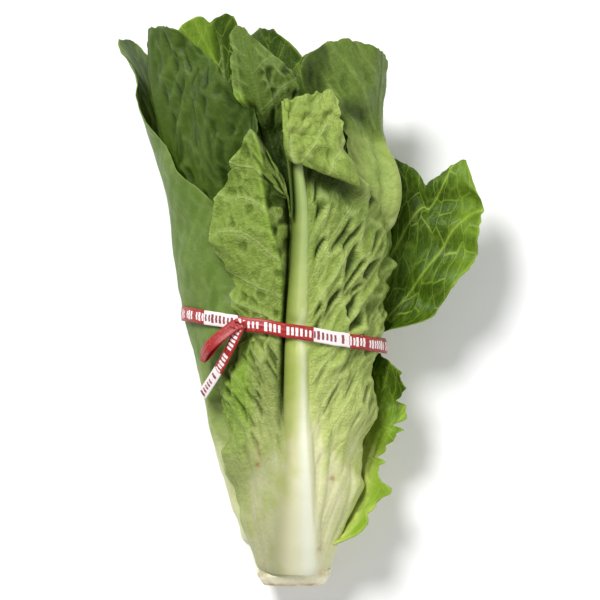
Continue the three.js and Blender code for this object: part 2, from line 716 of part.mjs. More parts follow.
// The band round the leaves.
function bandSolid(grow) {
  const frames = Array.from({ length: BAND_STEPS }, (_, i) => {
    const angle = (i / BAND_STEPS) * 2 * Math.PI;
    const ahead = bandPoint(angle + 0.01, 0).sub(bandPoint(angle - 0.01, 0)).setY(0).normalize();
    const outwards = new THREE.Vector3(ahead.z, 0, -ahead.x);
    return [bandPoint(angle, 0), new THREE.Vector3(0, 1, 0), outwards];
  });
  return ribbonSolid(frames, TIE_WIDTH + 2 * grow, TIE_THICKNESS + 2 * grow, true);
}

// A free end of the tie through stations of [angle in degrees, height, lift off the body, roll].
function tailSolid(stations, width) {
  const path = new THREE.CatmullRomCurve3(stations.map(([degrees, y, lift]) => (
    new THREE.Vector3(...headPoint(degrees * DEG, y, bodyRadius(degrees * DEG, y) + lift)))));
  const steps = (stations.length - 1) * TAIL_STEPS;
  const frames = Array.from({ length: steps + 1 }, (_, i) => {
    const u = i / steps;
    const k = Math.min(stations.length - 2, Math.floor(u * (stations.length - 1)));
    const roll = lerp(stations[k][3], stations[k + 1][3], u * (stations.length - 1) - k) * DEG;
    const centre = path.getPoint(u);
    const along = path.getTangent(u);
    const radial = new THREE.Vector3(centre.x - axisX(centre.y), 0, centre.z - axisZ(centre.y));
    const across = along.clone().cross(radial).normalize().applyAxisAngle(along, roll);
    return [centre, across, across.clone().cross(along)];
  });
  return ribbonSolid(frames, width, TIE_THICKNESS, false);
}

// The whole tie: band, the twist that closes it, a long end and a short one folded back on itself.
function tieSolid() {
  return bandSolid(0)
    .add(tailSolid(TWIST, TWIST_WIDTH))
    .add(tailSolid(LONG_END, TIE_WIDTH * 0.85))
    .add(tailSolid(FOLDED_END, TIE_WIDTH * 0.85));
}

// ---------------------------------------------------------------- build

const SURFACE = 1000;           // size of the block that stands for the surface below

// The leaves are laid out about the head's axis, then set with the rest spot at the origin.
const head = new THREE.Group();
head.name = 'romaine_head';
head.position.set(-axisX(REST_Y), -REST_Y, 0);

const stem = stemSolid(0);

reserveTie();
const solids = new Map();
const keepOut = [stemSolid(CUT_GAP), bandSolid(CUT_GAP)];
for (const leaf of leaves) {
  const clockwise = curve(leaf.outline.map(([y, a]) => [y, a]));
  const anticlockwise = curve(leaf.outline.map(([y, , b]) => [y, b]));
  leaf.measures = {
    base: leaf.outline[0][0],
    end: leaf.outline[leaf.outline.length - 1][0],
    wide: (s, side) => Math.max(2.5, side < 0 ? clockwise(s) : anticlockwise(s)),
    crown: leaf.crown && curve(leaf.crown),
    drop: leaf.notch && curve(leaf.notch.drop),
  };
  if (leaf.wing) leaf.wing.amount = curve(leaf.wing.flare);
  const grids = leafGrids(leaf, 0);
  const fat = leafGrids(leaf, CUT_GAP);
  fillGrid(grids.inner, grids.keep);
  let solid = shellSolid(grids);
  for (const taken of keepOut) solid = largest(solid.subtract(taken));
  keepOut.push(shellSolid(fat));
  solids.set(leaf.name, solid);
}

// The rib under the head is pressed flat on the surface.
const surface = new THREE.BoxGeometry(SURFACE, SURFACE, SURFACE).translate(0, 0, -SURFACE / 2);
solids.set('leaf_back', largest(solids.get('leaf_back').subtract(solidOf(surface))));

head.add(meshOf(stem, 'stem', STEM_COLOUR, 0.6));
head.add(meshOf(tieSolid(), 'twist_tie', TIE_COLOUR, 0.45));
for (const leaf of leaves) {
  const colour = leaf.heart ? HEART_COLOUR : LEAF_COLOUR;
  head.add(meshOf(solids.get(leaf.name), leaf.name, colour, 0.55));
}

export default head;
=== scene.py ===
"""The looks of a romaine lettuce head: fine leaves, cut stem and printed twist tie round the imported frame.

The shapes are laid out in millimetres about the head's axis, as the solids are: angle 0 at +X and 90
degrees straight up, the cut butt at -Y and the leaf tips at +Y. The leaves are laid from the outside
in, each inside the ones before it. A leaf's own coordinates are s, its height along the head, and t,
the distance from its rib, positive anticlockwise.
"""

import math
from types import SimpleNamespace

import bmesh
import bpy
import numpy as np
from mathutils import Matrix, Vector


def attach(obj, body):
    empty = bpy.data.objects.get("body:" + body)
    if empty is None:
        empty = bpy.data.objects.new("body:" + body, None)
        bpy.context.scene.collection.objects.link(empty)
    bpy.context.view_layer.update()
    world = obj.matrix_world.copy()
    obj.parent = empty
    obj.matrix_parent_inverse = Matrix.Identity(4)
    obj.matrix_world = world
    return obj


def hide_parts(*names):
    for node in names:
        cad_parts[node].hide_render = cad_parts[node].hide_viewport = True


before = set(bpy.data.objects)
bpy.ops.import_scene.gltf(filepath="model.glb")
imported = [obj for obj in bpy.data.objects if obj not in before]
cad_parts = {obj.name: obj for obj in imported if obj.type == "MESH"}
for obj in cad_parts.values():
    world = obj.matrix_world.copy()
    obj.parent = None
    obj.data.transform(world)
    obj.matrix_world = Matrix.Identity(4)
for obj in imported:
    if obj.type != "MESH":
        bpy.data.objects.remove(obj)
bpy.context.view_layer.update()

# ---- driving dimensions, millimetres

MM = 0.001
DEG = math.pi / 180

BUTT_Y = -128.0  # the cut face of the stem
LEAF_BASE_Y = -117.5  # where the outer leaves leave the stem
BLADE_THICKNESS = 0.8
CLEARANCE = 0.45  # between one leaf and the next
STEM_GAP = 0.4
REST_Y = -10.0  # the lowest point of the underside
FLAT_DEPTH = 1.6
CROWN_LENGTH = 40.0  # how far below a tip its cut edge still shifts the blade
SWELL_LENGTH = 12.0  # how soon a leaf leaves the stem for its layer
OUTER_SWELL_LENGTH = 2.0  # for the outermost leaves, which stand on the stump's rim
FOOT_SINK = 1.5  # how far the outermost leaves' feet reach down into that rim
RIB_INSIDE = 0.25  # share of the rib's height that shows on the inner face
MARGIN_TAPER = 0.45  # share of the blade's thickness left at its margin
FLOOR_GAP = 0.05  # the underside stays this far above the surface
NARROWEST = 2.5  # half-width that a leaf keeps at its tip
FURTHEST_ROUND = 2.1  # radians that a blade reaches round the head from its rib
STANDS_OUT = 4.0  # a tip curled further out than this isn't pressed in by the leaves over it
PATH_STEPS = 400  # in which a curled tip's path is measured
WING_STEP = 1.0  # length of the steps in which a leaf is opened

TIE_Y, TIE_SLOPE = 17.0, -0.16
TIE_WIDTH, TIE_THICKNESS = 8.0, 0.9
WHITE_START = 43.7  # where a white block of its print begins, along the tie
PRINT_PERIOD, WHITE_SHARE = 66.0, 0.34
BAR_PITCH = 2.5

PHOTO_WIDTH = 337.4  # width of the view at the head
VIEW_X, VIEW_Y, VIEW_Z = 6.2, 43.8, 55.0  # the middle of the view


# ---- small helpers


def lerp(a, b, share):
    return a + (b - a) * share


def ease(x, length=1):
    """A smooth step from 0 to 1 while x goes from 0 to the length."""
    x = np.clip(x / length, 0, 1)
    return x * x * (3 - 2 * x)


def bump(x, length=1):
    """A smooth bump of height 1 at 0, about as wide on either side as the length."""
    x = x / length
    return np.exp(-x * x)


def stack(*parts):
    """Points, or lists of corners, from their separate numbers."""
    return np.stack(np.broadcast_arrays(*parts), axis=-1)


def unit(vectors):
    """Vectors brought to a length of one."""
    return vectors / np.maximum(np.linalg.norm(vectors, axis=-1, keepdims=True), 1e-9)


def curve(stations):
    """A smooth curve through [x, value] stations, flat past both ends."""
    x, value = np.array(stations, float).T
    last = len(x) - 1
    at = np.arange(last + 1)
    ahead, behind = np.minimum(at + 1, last), np.maximum(at - 1, 0)
    slope = (value[ahead] - value[behind]) / (x[ahead] - x[behind])

    def follow(place):
        place = np.clip(place, x[0], x[-1])
        i = np.clip(np.searchsorted(x, place, side="right") - 1, 0, last - 1)
        h = x[i + 1] - x[i]
        u = (place - x[i]) / h
        u2, u3 = u * u, u * u * u
        start = (2 * u3 - 3 * u2 + 1) * value[i] + (u3 - 2 * u2 + u) * h * slope[i]
        return start + (3 * u2 - 2 * u3) * value[i + 1] + (u3 - u2) * h * slope[i + 1]

    return follow


def spline(p0, p1, p2, p3, w):
    """A point of a smooth line between p1 and p2, which also heeds the points before and after them."""
    v0, v1 = (p2 - p0) / 2, (p3 - p1) / 2
    return (2 * p1 - 2 * p2 + v0 + v1) * w**3 + (-3 * p1 + 3 * p2 - 2 * v0 - v1) * w**2 + v0 * w + p1


def run_along(points):
    """The length of a line of points up to each of them."""
    return np.r_[0, np.cumsum(np.linalg.norm(np.diff(points, axis=0), axis=1))]


def hashed(i, j, seed):
    """Repeatable random numbers from 0 to 1, one for each pair of whole numbers."""
    n = (i.astype(np.int64) * 374761393 + j.astype(np.int64) * 668265263 + seed * 974711) & 0xFFFFFFFF
    n = ((n ^ (n >> 13)) * 1274126177) & 0xFFFFFFFF
    return ((n ^ (n >> 16)) & 0xFFFF) / 65535.0


def noise(x, y, seed):
    """Smooth noise from -1 to 1 with features one unit apart."""
    x, y = np.broadcast_arrays(x, y)
    i, j = np.floor(x), np.floor(y)
    u, v = ease(x - i), ease(y - j)
    low, high = (lerp(hashed(i, j + k, seed), hashed(i + 1, j + k, seed), u) for k in (0, 1))
    return 2 * lerp(low, high, v) - 1


def cells(x, y, seed):
    """Scattered cells one unit apart: the distance to a cell's border, and its own random number."""
    i, j = np.floor(x), np.floor(y)
    first = second = np.full(x.shape, 1e9)
    to_first = to_second = own = np.zeros(x.shape)
    for a, b in ((i + di, j + dj) for di in (-1, 0, 1) for dj in (-1, 0, 1)):
        dx, dy = (q + 0.5 + 0.8 * (hashed(a, b, seed + k) - 0.5) - at for k, q, at in ((0, a, x), (1, b, y)))
        away, to = dx * dx + dy * dy, dx + 1j * dy
        nearest = away < first
        to_second = np.where(nearest, to_first, np.where(away < second, to, to_second))
        second = np.where(nearest, first, np.minimum(second, away))
        to_first = np.where(nearest, to, to_first)
        own = np.where(nearest, hashed(a, b, seed + 2), own)
        first = np.minimum(first, away)
    return (second - first) / (2 * np.maximum(np.abs(to_second - to_first), 1e-6)), own


def shifted(grid, k, axis):
    """A grid moved by k cells, with its edge repeated."""
    n = grid.shape[axis]
    return grid.take(np.clip(np.arange(n) + k, 0, n - 1), axis)


def blur(grid, times):
    """A grid of numbers, or of points, evened out with its neighbours."""
    for axis in (0, 1) * times:
        grid = (shifted(grid, -1, axis) + 2 * grid + shifted(grid, 1, axis)) / 4
    return grid


def widest(grid, reach):
    """The largest number within `reach` cells of each cell."""
    for axis in (0, 1):
        grid = np.maximum.reduce([shifted(grid, k, axis) for k in range(-reach, reach + 1)])
    return grid


# ---- the head's body

half_width = curve(
    [
        [-128, 20], [-113, 26.4], [-100, 32], [-80, 39], [-50, 46.4], [-22, 51.5], [17, 57.5],
        [60, 63.5], [110, 68.5], [160, 69.5], [200, 67],
    ]
)
depth_ratio = curve([[-128, 0.96], [-80, 0.87], [17, 0.8], [200, 0.78]])
axis_x = curve([[-128, 0], [-60, 0], [17, -4], [80, -6], [130, -14], [190, -20]])
stem_radius = curve(
    [[-117.5, 16], [-112, 13], [-107, 11], [-100, 9], [-92, 7], [-82, 5], [-70, 3.2], [-60, 2.2]]
)

SHIFT = np.array([-float(axis_x(REST_Y)), -REST_Y, 0.0])  # from the layout to the frame


def half_depth(y):
    return half_width(y) * depth_ratio(y)


def axis_z(y):
    rise = np.where(y < REST_Y, 5e-4, 2.5e-4) * (y - REST_Y) ** 2
    return half_depth(y) + rise - FLAT_DEPTH


def body_radius(angle, y):
    """Radius of the head's outer surface."""
    a, b = half_width(y), half_depth(y)
    return a * b / np.hypot(b * np.cos(angle), a * np.sin(angle))


def head_point(angle, y, radius):
    return stack(axis_x(y) + radius * np.cos(angle), y, axis_z(y) + radius * np.sin(angle))


class Room:
    """How far out the room inside the laid leaves reaches, from the body's surface."""

    ANGLES, ROWS = 180, 180
    START, STEP = -130.0, 2.0

    def __init__(self):
        self.reach = np.full((self.ROWS, self.ANGLES), 1e3)

    def fill(self, points):
        """Takes the room outside these points away."""
        x, y, z = points.reshape(-1, 3).T
        dx, dz = x - axis_x(y), z - axis_z(y)
        angle = np.arctan2(dz, dx)
        row = np.clip(((y - self.START) / self.STEP).astype(int), 0, self.ROWS - 1)
        column = np.floor(angle / (2 * np.pi) * self.ANGLES).astype(int) % self.ANGLES
        np.minimum.at(self.reach, (row, column), np.hypot(dx, dz) - body_radius(angle, y))
        self.spread = self.reach
        for axis in (1, 0):
            self.spread = np.minimum.reduce([np.roll(self.spread, k, axis=axis) for k in (-1, 0, 1)])

    def radius(self, angle, y):
        """The room's radius, blended between the four nearest cells."""
        row = np.clip((y - self.START) / self.STEP - 0.5, 0, self.ROWS - 1.001)
        column = angle / (2 * np.pi) * self.ANGLES - 0.5
        i, j = np.floor(row).astype(int), np.floor(column).astype(int)
        left, right = j % self.ANGLES, (j + 1) % self.ANGLES
        low, high = (lerp(self.spread[i + k, left], self.spread[i + k, right], column - j) for k in (0, 1))
        return body_radius(angle, y) + lerp(low, high, row - i)


# ---- leaves

rib_height = curve([[0, 3.2], [20, 4.4], [35, 4.8], [90, 4], [140, 3], [200, 1.8], [260, 0.6]])
rib_half_width = curve([[0, 15], [22, 13], [48, 9.5], [90, 7.5], [140, 6], [200, 4.2], [260, 2]])
blade_thickness = curve([[0, 3], [20, 2], [50, 1.4], [120, 0.9], [160, BLADE_THICKNESS]])

PLAIN_SHAPE = [
    (0.1, 0.42), (0.22, 0.5), (0.45, 0.78), (0.66, 1), (0.8, 0.98), (0.9, 0.8), (0.96, 0.52), (1, 0.14),
]


def plain_outline(base, tip, foot, clockwise, anticlockwise):
    """A plain romaine outline: rows of [height, half-width clockwise, half-width anticlockwise]."""
    rows = [[lerp(base, tip, u), w * clockwise, w * anticlockwise] for u, w in PLAIN_SHAPE]
    return [[base, foot, foot], *rows]


# What a leaf has where its own entry says nothing else. Strength, steep, cell, the painted shade, pale
# and the fresh green with its painted light are numbers or functions of t and s. Heights, depths and
# lengths are in millimetres.
PLAIN_LEAF = dict(
    lean=0.0,  # degrees that its rib turns round the head in a millimetre of height
    tip=None, notch=None, crown=None, wing=None, relief=None,
    ruffle=(2.0, 40, 0.0),  # height, length and phase of the waves in its margin
    strength=1.0,  # of its blisters and folds
    quilt=1.6,  # depth of its blisters
    fold=0.9,  # height of the folds along its side veins
    swell=0.0,  # height of its long broad folds
    billow=1.5,  # height of its soft unevenness
    spacing=20.0,  # between side veins along the rib
    steep=1.75,  # rise of the side veins
    wander=1.0,  # how crooked its veins are
    cell=1.0,  # how long its blisters are
    strand=0.35,  # height of the fine strands along its side veins
    teeth=curve([[-70, 0.2], [0, 0.8]]),  # length of its teeth, by height
    frill=1.0,  # how crinkled its margin is
    dark=0.0,  # painted shade over hollows and shaded parts, added to that of the pits
    pale=0.0,  # smooth parts that are paler than the rest
    fresh=0.0,  # parts of a brighter, yellower green, and on some leaves painted light
    flush=(0.2, 0.2),  # how much greener its two sides are than its rib
    rib_shows=1.0,
    rib_end=50.0,  # length below the tip in which the rib's colour fades
    palette="outer",
    spots=(),  # rust spots: s, t and radius
)
LEAVES = []


def add_leaf(name, angle, layer, rib, outline, rows, columns, **more):
    """Adds a leaf: its place on the head, its outline, and how its surface is quilted and coloured."""
    leaf = SimpleNamespace(**{**PLAIN_LEAF, **more})
    leaf.name, leaf.angle, leaf.layer, leaf.rib = name, angle, layer, rib
    leaf.rows, leaf.columns = rows, columns
    leaf.base, leaf.end = outline[0][0], outline[-1][0]
    leaf.sides = curve([[y, a] for y, a, _ in outline]), curve([[y, b] for y, _, b in outline])
    leaf.seed = sum(ord(c) * (k + 1) for k, c in enumerate(name)) % 9973
    LEAVES.append(leaf)


def wide(leaf, s, t):
    """How far a leaf reaches from its rib, on the side of t."""
    clockwise, anticlockwise = leaf.sides
    return np.maximum(NARROWEST, np.where(t < 0, clockwise(s), anticlockwise(s)))


def over_leaf(value, t, s):
    return value(t, s) if callable(value) else value + 0 * s


crest_line = curve([[30, 10], [53, 12.5], [65, 16], [77, 20], [101, 23.5], [118, 21.5], [131, 25]])


def by_rib(t, s):
    """The deep groove on the anticlockwise side of the front leaf's rib."""
    return bump(t - rib_half_width(s - LEAF_BASE_Y) - 2, 2.6) * ease(s + 48, 40) * ease(150 - s, 30)


def crest_pits(t, s):
    """The pitted strip between that groove and the standing lobe's crest, and the depth of its pits."""
    strip = ease(crest_line(s) - t, 1.5) * ease(t - 5, 2) * ease(s - 45, 30)
    return strip, ease(noise(s / 5.5, t / 4.5, 17) + 0.15, 0.4)


def under_fold(t, s):
    """The hollow under the edge of the front leaf's folded tip."""
    return ease(-t - 1, 4) * ease(38 + t, 8) * bump(s - 107 - 0.4 * t, 9)


def front_relief(t, s):
    """Groove and pitted crest on the anticlockwise side, hollow and soft bumps on the other."""
    strip, pits = crest_pits(t, s)
    crest = ease(s + 45, 60) * (4 * bump(t - 22, 8) + 2.5 * bump(t - crest_line(s), 1.8))
    bumps = ease(s - 116, 8) * (1.9 * noise(s / 5.5, t / 5.5, 19) + noise(s / 3, t / 3, 20))
    standing = crest - 7.5 * by_rib(t, s) - strip * (1 + 3.4 * pits)
    return np.where(t > 0, standing, bumps - 5 * under_fold(t, s))


def front_painted_shade(t, s):
    """Painted shade on the front leaf: deepest in its groove, in the crest's pits and under its fold;
    fainter over its anticlockwise side, more so near its foot, and across the fold.
    """
    strip, pits = crest_pits(t, s)
    hollows = np.maximum(by_rib(t, s), strip * (0.15 + 0.8 * pits))
    shade = 0.1 * ease(20 - s, 30) * ease(t, 12)
    fold = 0.22 * bump(s - 120, 9) * ease(8 - t, 4)
    return np.maximum(hollows, 1.1 * under_fold(t, s)) + 0.22 * ease(t, 12) + shade + fold


def front_fresh_and_highlight(t, s):
    """Its standing lobe and the crinkled margin below the tie are yellower, and a highlight is painted along
    the lobe's crest line.
    """
    lobe = (0.15 * ease(t - 9, 8) + 0.4 * bump(t - crest_line(s) - 1, 1.6)) * ease(s - 10, 20)
    return np.maximum(lobe, 0.9 * ease(t - 24, 8) * bump(s + 14, 28))


def front_strength(t, s):
    """The front leaf is crumpled high on its clockwise side, but not on its folded tip."""
    high = lerp(0.3, 1.0, ease(s + 75, 85)) * lerp(1, 0.3, ease(s - 106, 14))
    smooth_by_rib = ease(-t - 6, lerp(9, 3, ease(s - 30, 50)))
    return np.where(t < 0, high * smooth_by_rib, lerp(0.75, 0.5, ease(s + 10, 40)))


def crest_strip(t, s):
    """The bright margin of the crest leaf, beside the hollow at its foot."""
    return ease(t - 6, 2.5) * ease(s - 104, 8) * ease(156 - s, 10)


def right_cheek(s):
    """Where the right leaf's cheek ends, from its rib."""
    return 6 + 24 * ease(s - 74, 30)


def right_pale(t, s):
    """The smooth pale cheek of the right leaf, pointed at its lower end."""
    across = ease(t + 8, 8) * ease(right_cheek(s) - t, 4)
    return across * ease(130 - s + 0.3 * t, 12) * ease(s - 66, 16)


def right_crease(t, s):
    """The crease round the cheek's upper left side, sunk and painted with shade."""
    beside = bump(t - right_cheek(s) - 2, 2.5) * ease(s - 70, 12) * ease(140 - s, 8)
    return np.maximum(beside, bump(s - 132 - 0.3 * t, 5) * ease(t - 4, 10) * ease(34 - t, 8))


def right_relief(t, s):
    """The right leaf's cheek stands out, and its top lies back."""
    cheek = 7 * bump(s - 98, 26) * bump(t + 2, 17) - 2.5 * ease(s - 110, 20)
    fold = 2.2 * right_pale(t, s) * bump(t - 9 + 0.1 * (s - 90), 3)
    return cheek - fold - 3.5 * right_crease(t, s)


add_leaf(
    "leaf_front", 90, 0, 1,
    [
        [LEAF_BASE_Y, 25, 25], [-105, 31, 32], [-85, 43, 43], [-60, 52, 50], [-25, 57, 53], [5, 58, 41],
        [17, 60, 35], [31, 64, 40], [55, 68, 50], [76, 62, 57], [90, 48, 55], [104, 38, 45],
        [118, 34, 36], [126, 33, 30], [131, 32, 26], [150, 30, 26], [175, 27, 26],
    ],
    rows=292, columns=(12, 64, 58), lean=-0.06,
    tip=dict(
        start=112, path=[[0, 0], [5, 3], [-2, 8.5], [6, 13], [24, 12], [40, 8]], skew=0.45, up_to=8, turn=7
    ),
    notch=dict(side=1, start=85, to=131, drop=[[2.5, 0], [4.5, 30], [8, 36], [16, 20], [26, 0]]),
    crown=[[-30, 10], [-20, 5], [-9, -2], [2, -10], [8, -13]],
    relief=front_relief, strength=front_strength, dark=front_painted_shade, fresh=front_fresh_and_highlight,
    pale=lambda t, s: 0.3 * ease(s - 120, 20) * ease(8 - t, 4),
    # Side veins lie nearly level on the standing lobe. Blisters are long on the clockwise side.
    steep=lambda t, s: np.where(t < 0, 1.5, lerp(1.9, 0.6, ease(s + 10, 60))),
    cell=lambda t, s: np.where(t < 0, lerp(1.7, 0.45, ease(s - 106, 12)), 0.9),
    ruffle=(3, 42, 0.5), quilt=4.4, fold=1.6, swell=2.6, billow=1.4, spacing=21, frill=2.4,
    teeth=curve([[-60, 0.4], [-15, 2.0], [15, 1.2]]), flush=(0.1, 1.6), rib_end=70,
    spots=[(-104, -15, 2.5), (-66, -22, 2), (-58, 24, 1.6), (-52, 23, 1.8), (-46, 24, 1.4)],
)
add_leaf(
    "leaf_back", -90, 0, 1,
    [
        [LEAF_BASE_Y, 25, 25], [-105, 30, 30], [-88, 37, 35], [-60, 42, 38], [0, 50, 44], [60, 56, 46],
        [95, 55, 45], [121, 45, 37], [137, 29, 24], [148, 8, 7],
    ],
    rows=230, columns=(8, 28, 26), ruffle=(2.5, 44, 1.7),
    crown=[[-40, 0], [-24, -5], [-12, 0], [0, 3], [14, -2], [26, 1], [40, -4]],
)
add_leaf(
    "leaf_right_open", -38, 2.5, 0.9,
    [
        [-112, 17, 15], [-104, 23, 31], [-98, 26, 42], [-92, 28, 44], [-85, 31, 38], [-79, 32, 42],
        [-71, 34, 44], [-62, 35, 36], [-50, 36, 38], [-38, 37, 44], [-26, 39, 41], [-12, 41, 50],
        [-2, 43, 42], [8, 44, 24], [14, 44, 30], [20, 44, 54], [31, 45, 61], [42, 46, 70],
        [55, 45, 76], [70, 42, 79.5], [84, 38, 79.5], [100, 30, 79], [112, 20, 74],
    ],
    rows=236, columns=(6, 22, 104),
    wing=dict(
        side=1, start=12, turn=46,
        flare=[
            [-112, 0.3], [-90, 0.9], [-55, 1], [-22, 1], [-6, 0.6], [5, 0], [12, 0], [21, 0.75],
            [34, 0.95], [50, 1],
        ],
    ),
    crown=[
        [20, 0], [30, 2], [36, 0], [43, -4], [46, -8], [48, -14], [51, -12], [60, -6], [70, 0], [74, 0],
        [79, -6],
    ],
    ruffle=(3.5, 30, 2.1), strength=0.35, quilt=2.2, fold=1.2, billow=2.6, spacing=40, wander=0.2,
    # A faint painted shade all over; painted light, a brighter yellower green, on the wing's outer margin;
    # yellower lower lobes.
    teeth=curve([[-100, 4.2], [-8, 4.2], [18, 0.6]]), frill=2.2, flush=(0.2, 2.4), dark=0.06,
    fresh=lambda t, s: 0.35 * ease(t - 58, 16) + 0.4 * ease(-20 - s, 30) * ease(t - 24, 12),
    palette="bright",
)
add_leaf(
    "leaf_left", 200, 1.5, 0.9,
    [
        [-112, 17, 17], [-100, 26, 25], [-85, 35, 32], [-60, 46, 39], [-20, 56, 45], [17, 64, 46],
        [50, 70, 48], [80, 67, 47], [90, 63, 45], [102, 54, 43], [113, 46, 41], [124, 38, 38],
        [135, 31, 35], [146, 25, 30], [165, 17, 20], [184, 7, 7],
    ],
    rows=240, columns=(6, 40, 18),
    tip=dict(start=118, path=[[0, 0], [22, 2], [45, 8], [63, 17]]),
    relief=lambda t, s: 2.4 * bump(s - 22, 76),
    ruffle=(1.6, 44, 0.4), quilt=0.35, fold=0.3, billow=0.9, spacing=26,
    teeth=curve([[0, 0.1], [60, 0.7]]), palette="smooth",
)
add_leaf(
    "leaf_right", 12, 4, 0.8,
    [
        [-100, 10, 10], [-90, 16, 16], [-80, 22, 24], [-40, 34, 36], [20, 40, 44], [60, 42, 40],
        [100, 40, 31], [120, 36, 25], [134, 36, 34], [148, 36, 50], [163, 34, 56], [172, 29, 50],
        [180, 18, 36],
    ],
    rows=250, columns=(6, 20, 52),
    tip=dict(start=118, path=[[0, 0], [30, 5], [62, 8]]),
    crown=[[-20, -20], [-10, -13], [0, -8], [12, -4], [24, -2], [36, -3], [50, -2]],
    relief=right_relief, pale=right_pale,
    # Painted shade over its upper anticlockwise part and in the crease round its cheek.
    dark=lambda t, s: np.maximum(
        0.7 * ease(t - 34, 10) * ease(s - 110, 20), 0.8 * right_crease(t, s)
    ),
    strength=lambda t, s: lerp(1, 0.4, ease(s - 112, 20)), strand=0.5,
    ruffle=(2, 40, 1.1), quilt=2.2, fold=1.2, swell=2.0, spacing=28, rib_shows=0.25, palette="dull",
)
add_leaf(
    "leaf_upper_left", 146, 5, 0.8,
    [
        [-100, 10, 10], [-90, 17, 16], [-80, 24, 22], [-40, 36, 32], [20, 44, 38], [80, 50, 40],
        [110, 59, 40], [124, 66, 38], [136, 69, 36], [146, 66, 33], [155, 60, 33], [164, 53, 34],
        [172, 47, 34], [180, 41, 31], [186, 35, 24], [189, 30, 16],
    ],
    rows=250, columns=(6, 50, 26), lean=0.1,
    crown=[[-38, -9], [-30, -5], [-20, -4], [-8, -4], [4, -5], [16, -9]],
    ruffle=(2.2, 40, 2.6), quilt=2.8, fold=1.4, swell=3.0, strand=0.2, spacing=34,
    teeth=curve([[0, 0.4], [60, 1.2]]), steep=2.0, cell=0.7, rib_shows=0.0, palette="deep",
    # Painted shade: faint all over, heavier over its anticlockwise side and toward its clockwise margin.
    dark=lambda t, s: 0.06 + 0.45 * ease(t - 2, 24) + 0.25 * ease(-t - 24, 20),
)
add_leaf(
    "leaf_crest", 50, 10, 0.7,
    [
        [-91, 7, 7], [-78, 14, 14], [-60, 19, 19], [-30, 24, 24], [30, 26, 26], [90, 20, 20],
        [118, 10, 10], [132, 14, 12], [150, 25, 12], [166, 21, 10], [177, 12, 8], [186, 5, 6], [190, 2, 3],
    ],
    rows=236, columns=(6, 26, 20), lean=0.187,
    tip=dict(start=128, path=[[0, 0], [14, 5], [32, 8], [57, 4]]),
    ruffle=(2, 34, 0.9), quilt=2.6, fold=1.2, billow=3.0, cell=0.7, steep=0.9,
    relief=lambda t, s: 3.5 * crest_strip(t, s)
    - 9 * ease(140 - s, 16) * ease(s - 50, 30) * (1 - crest_strip(t, s)),
    # Painted shade: light all over, deep below its curled tip where it lies in the hollow, none on its
    # bright margin.
    dark=lambda t, s: lerp(0.3, 1.0, ease(138 - s, 14)) * (1 - crest_strip(t, s)),
    fresh=lambda t, s: 0.6 * crest_strip(t, s), rib_shows=0.1, palette="dull",
)
add_leaf(
    "leaf_back_left", 243, 6, 0.75,
    [
        [-95, 8, 8], [-66, 18, 18], [-31, 21, 21], [36, 33, 33], [96, 42, 42], [137, 42, 40],
        [166, 38, 24], [182, 32, 16], [190, 24, 13], [195, 13, 9],
    ],
    rows=220, columns=(6, 26, 26),
    crown=[[-32, -3], [-22, 1], [-12, 0], [-7, -3], [0, 1], [8, 1], [16, -3], [28, -8]],
    ruffle=(2.2, 44, 0.2), strength=0.4, quilt=2.0, spacing=40, wander=0.3, palette="bright",
    # Painted shade on its anticlockwise side, and painted light, a brighter yellower green, on its clockwise
    # side.
    dark=lambda t, s: 0.3 * ease(t + 4, 5), fresh=lambda t, s: 0.45 * ease(-3 - t, 5),
)
add_leaf(
    "leaf_back_middle", 277, 11, 0.7, plain_outline(-91, 186, 7, 38, 36), rows=180, columns=(5, 20, 20),
    crown=[[-28, -1], [-12, 3], [0, 2], [16, 0], [30, -4]],
    # Painted shade all over, for a leaf lying deep inside the head.
    ruffle=(2, 44, 1.9), strength=0.4, quilt=2.0, spacing=30, dark=0.6, palette="bright",
)
add_leaf(
    "leaf_back_right", 312, 9, 0.7, plain_outline(-95, 172, 8, 40, 36), rows=180, columns=(5, 20, 20),
    crown=[[-30, -3], [-14, 0], [2, 2], [16, -2], [28, 0]],
    # Painted shade all over, for a leaf lying deep inside the head.
    ruffle=(2, 44, 2.8), strength=0.4, quilt=2.0, spacing=30, dark=0.5, palette="bright",
)
# The heart leaves: angle, base, tip, half-width, layer.
HEARTS = [(120, -86, 158, 34, 20), (350, -83, 150, 32, 20), (235, -79, 146, 26, 27), (75, -74, 136, 22, 32)]
for number, (angle, base, tip, across, layer) in enumerate(HEARTS):
    add_leaf(
        f"leaf_heart_{number + 1}", angle, layer, 0.5, plain_outline(base, tip, 4.5, across, across),
        rows=120, columns=(4, 13, 13), tip=dict(start=tip - 45, path=[[0, 0], [22, -2], [44, -9]]),
        ruffle=(1.6, 40, number * 1.3), spacing=18, palette="heart",
    )


def path_steps(path, share):
    """The [height, outwards] step at a share of the length of a smooth path."""
    points = np.array(path, float)
    last = len(points) - 1
    u = np.linspace(0, last, PATH_STEPS)
    i = np.minimum(u.astype(int), last - 1)
    corners = (points[np.clip(i + k, 0, last)] for k in (-1, 0, 1, 2))
    line = spline(*corners, (u - i)[:, None])
    run = run_along(line)
    at = np.clip(share, 0, 1) * run[-1]
    return np.interp(at, run, line[:, 0]), np.interp(at, run, line[:, 1])


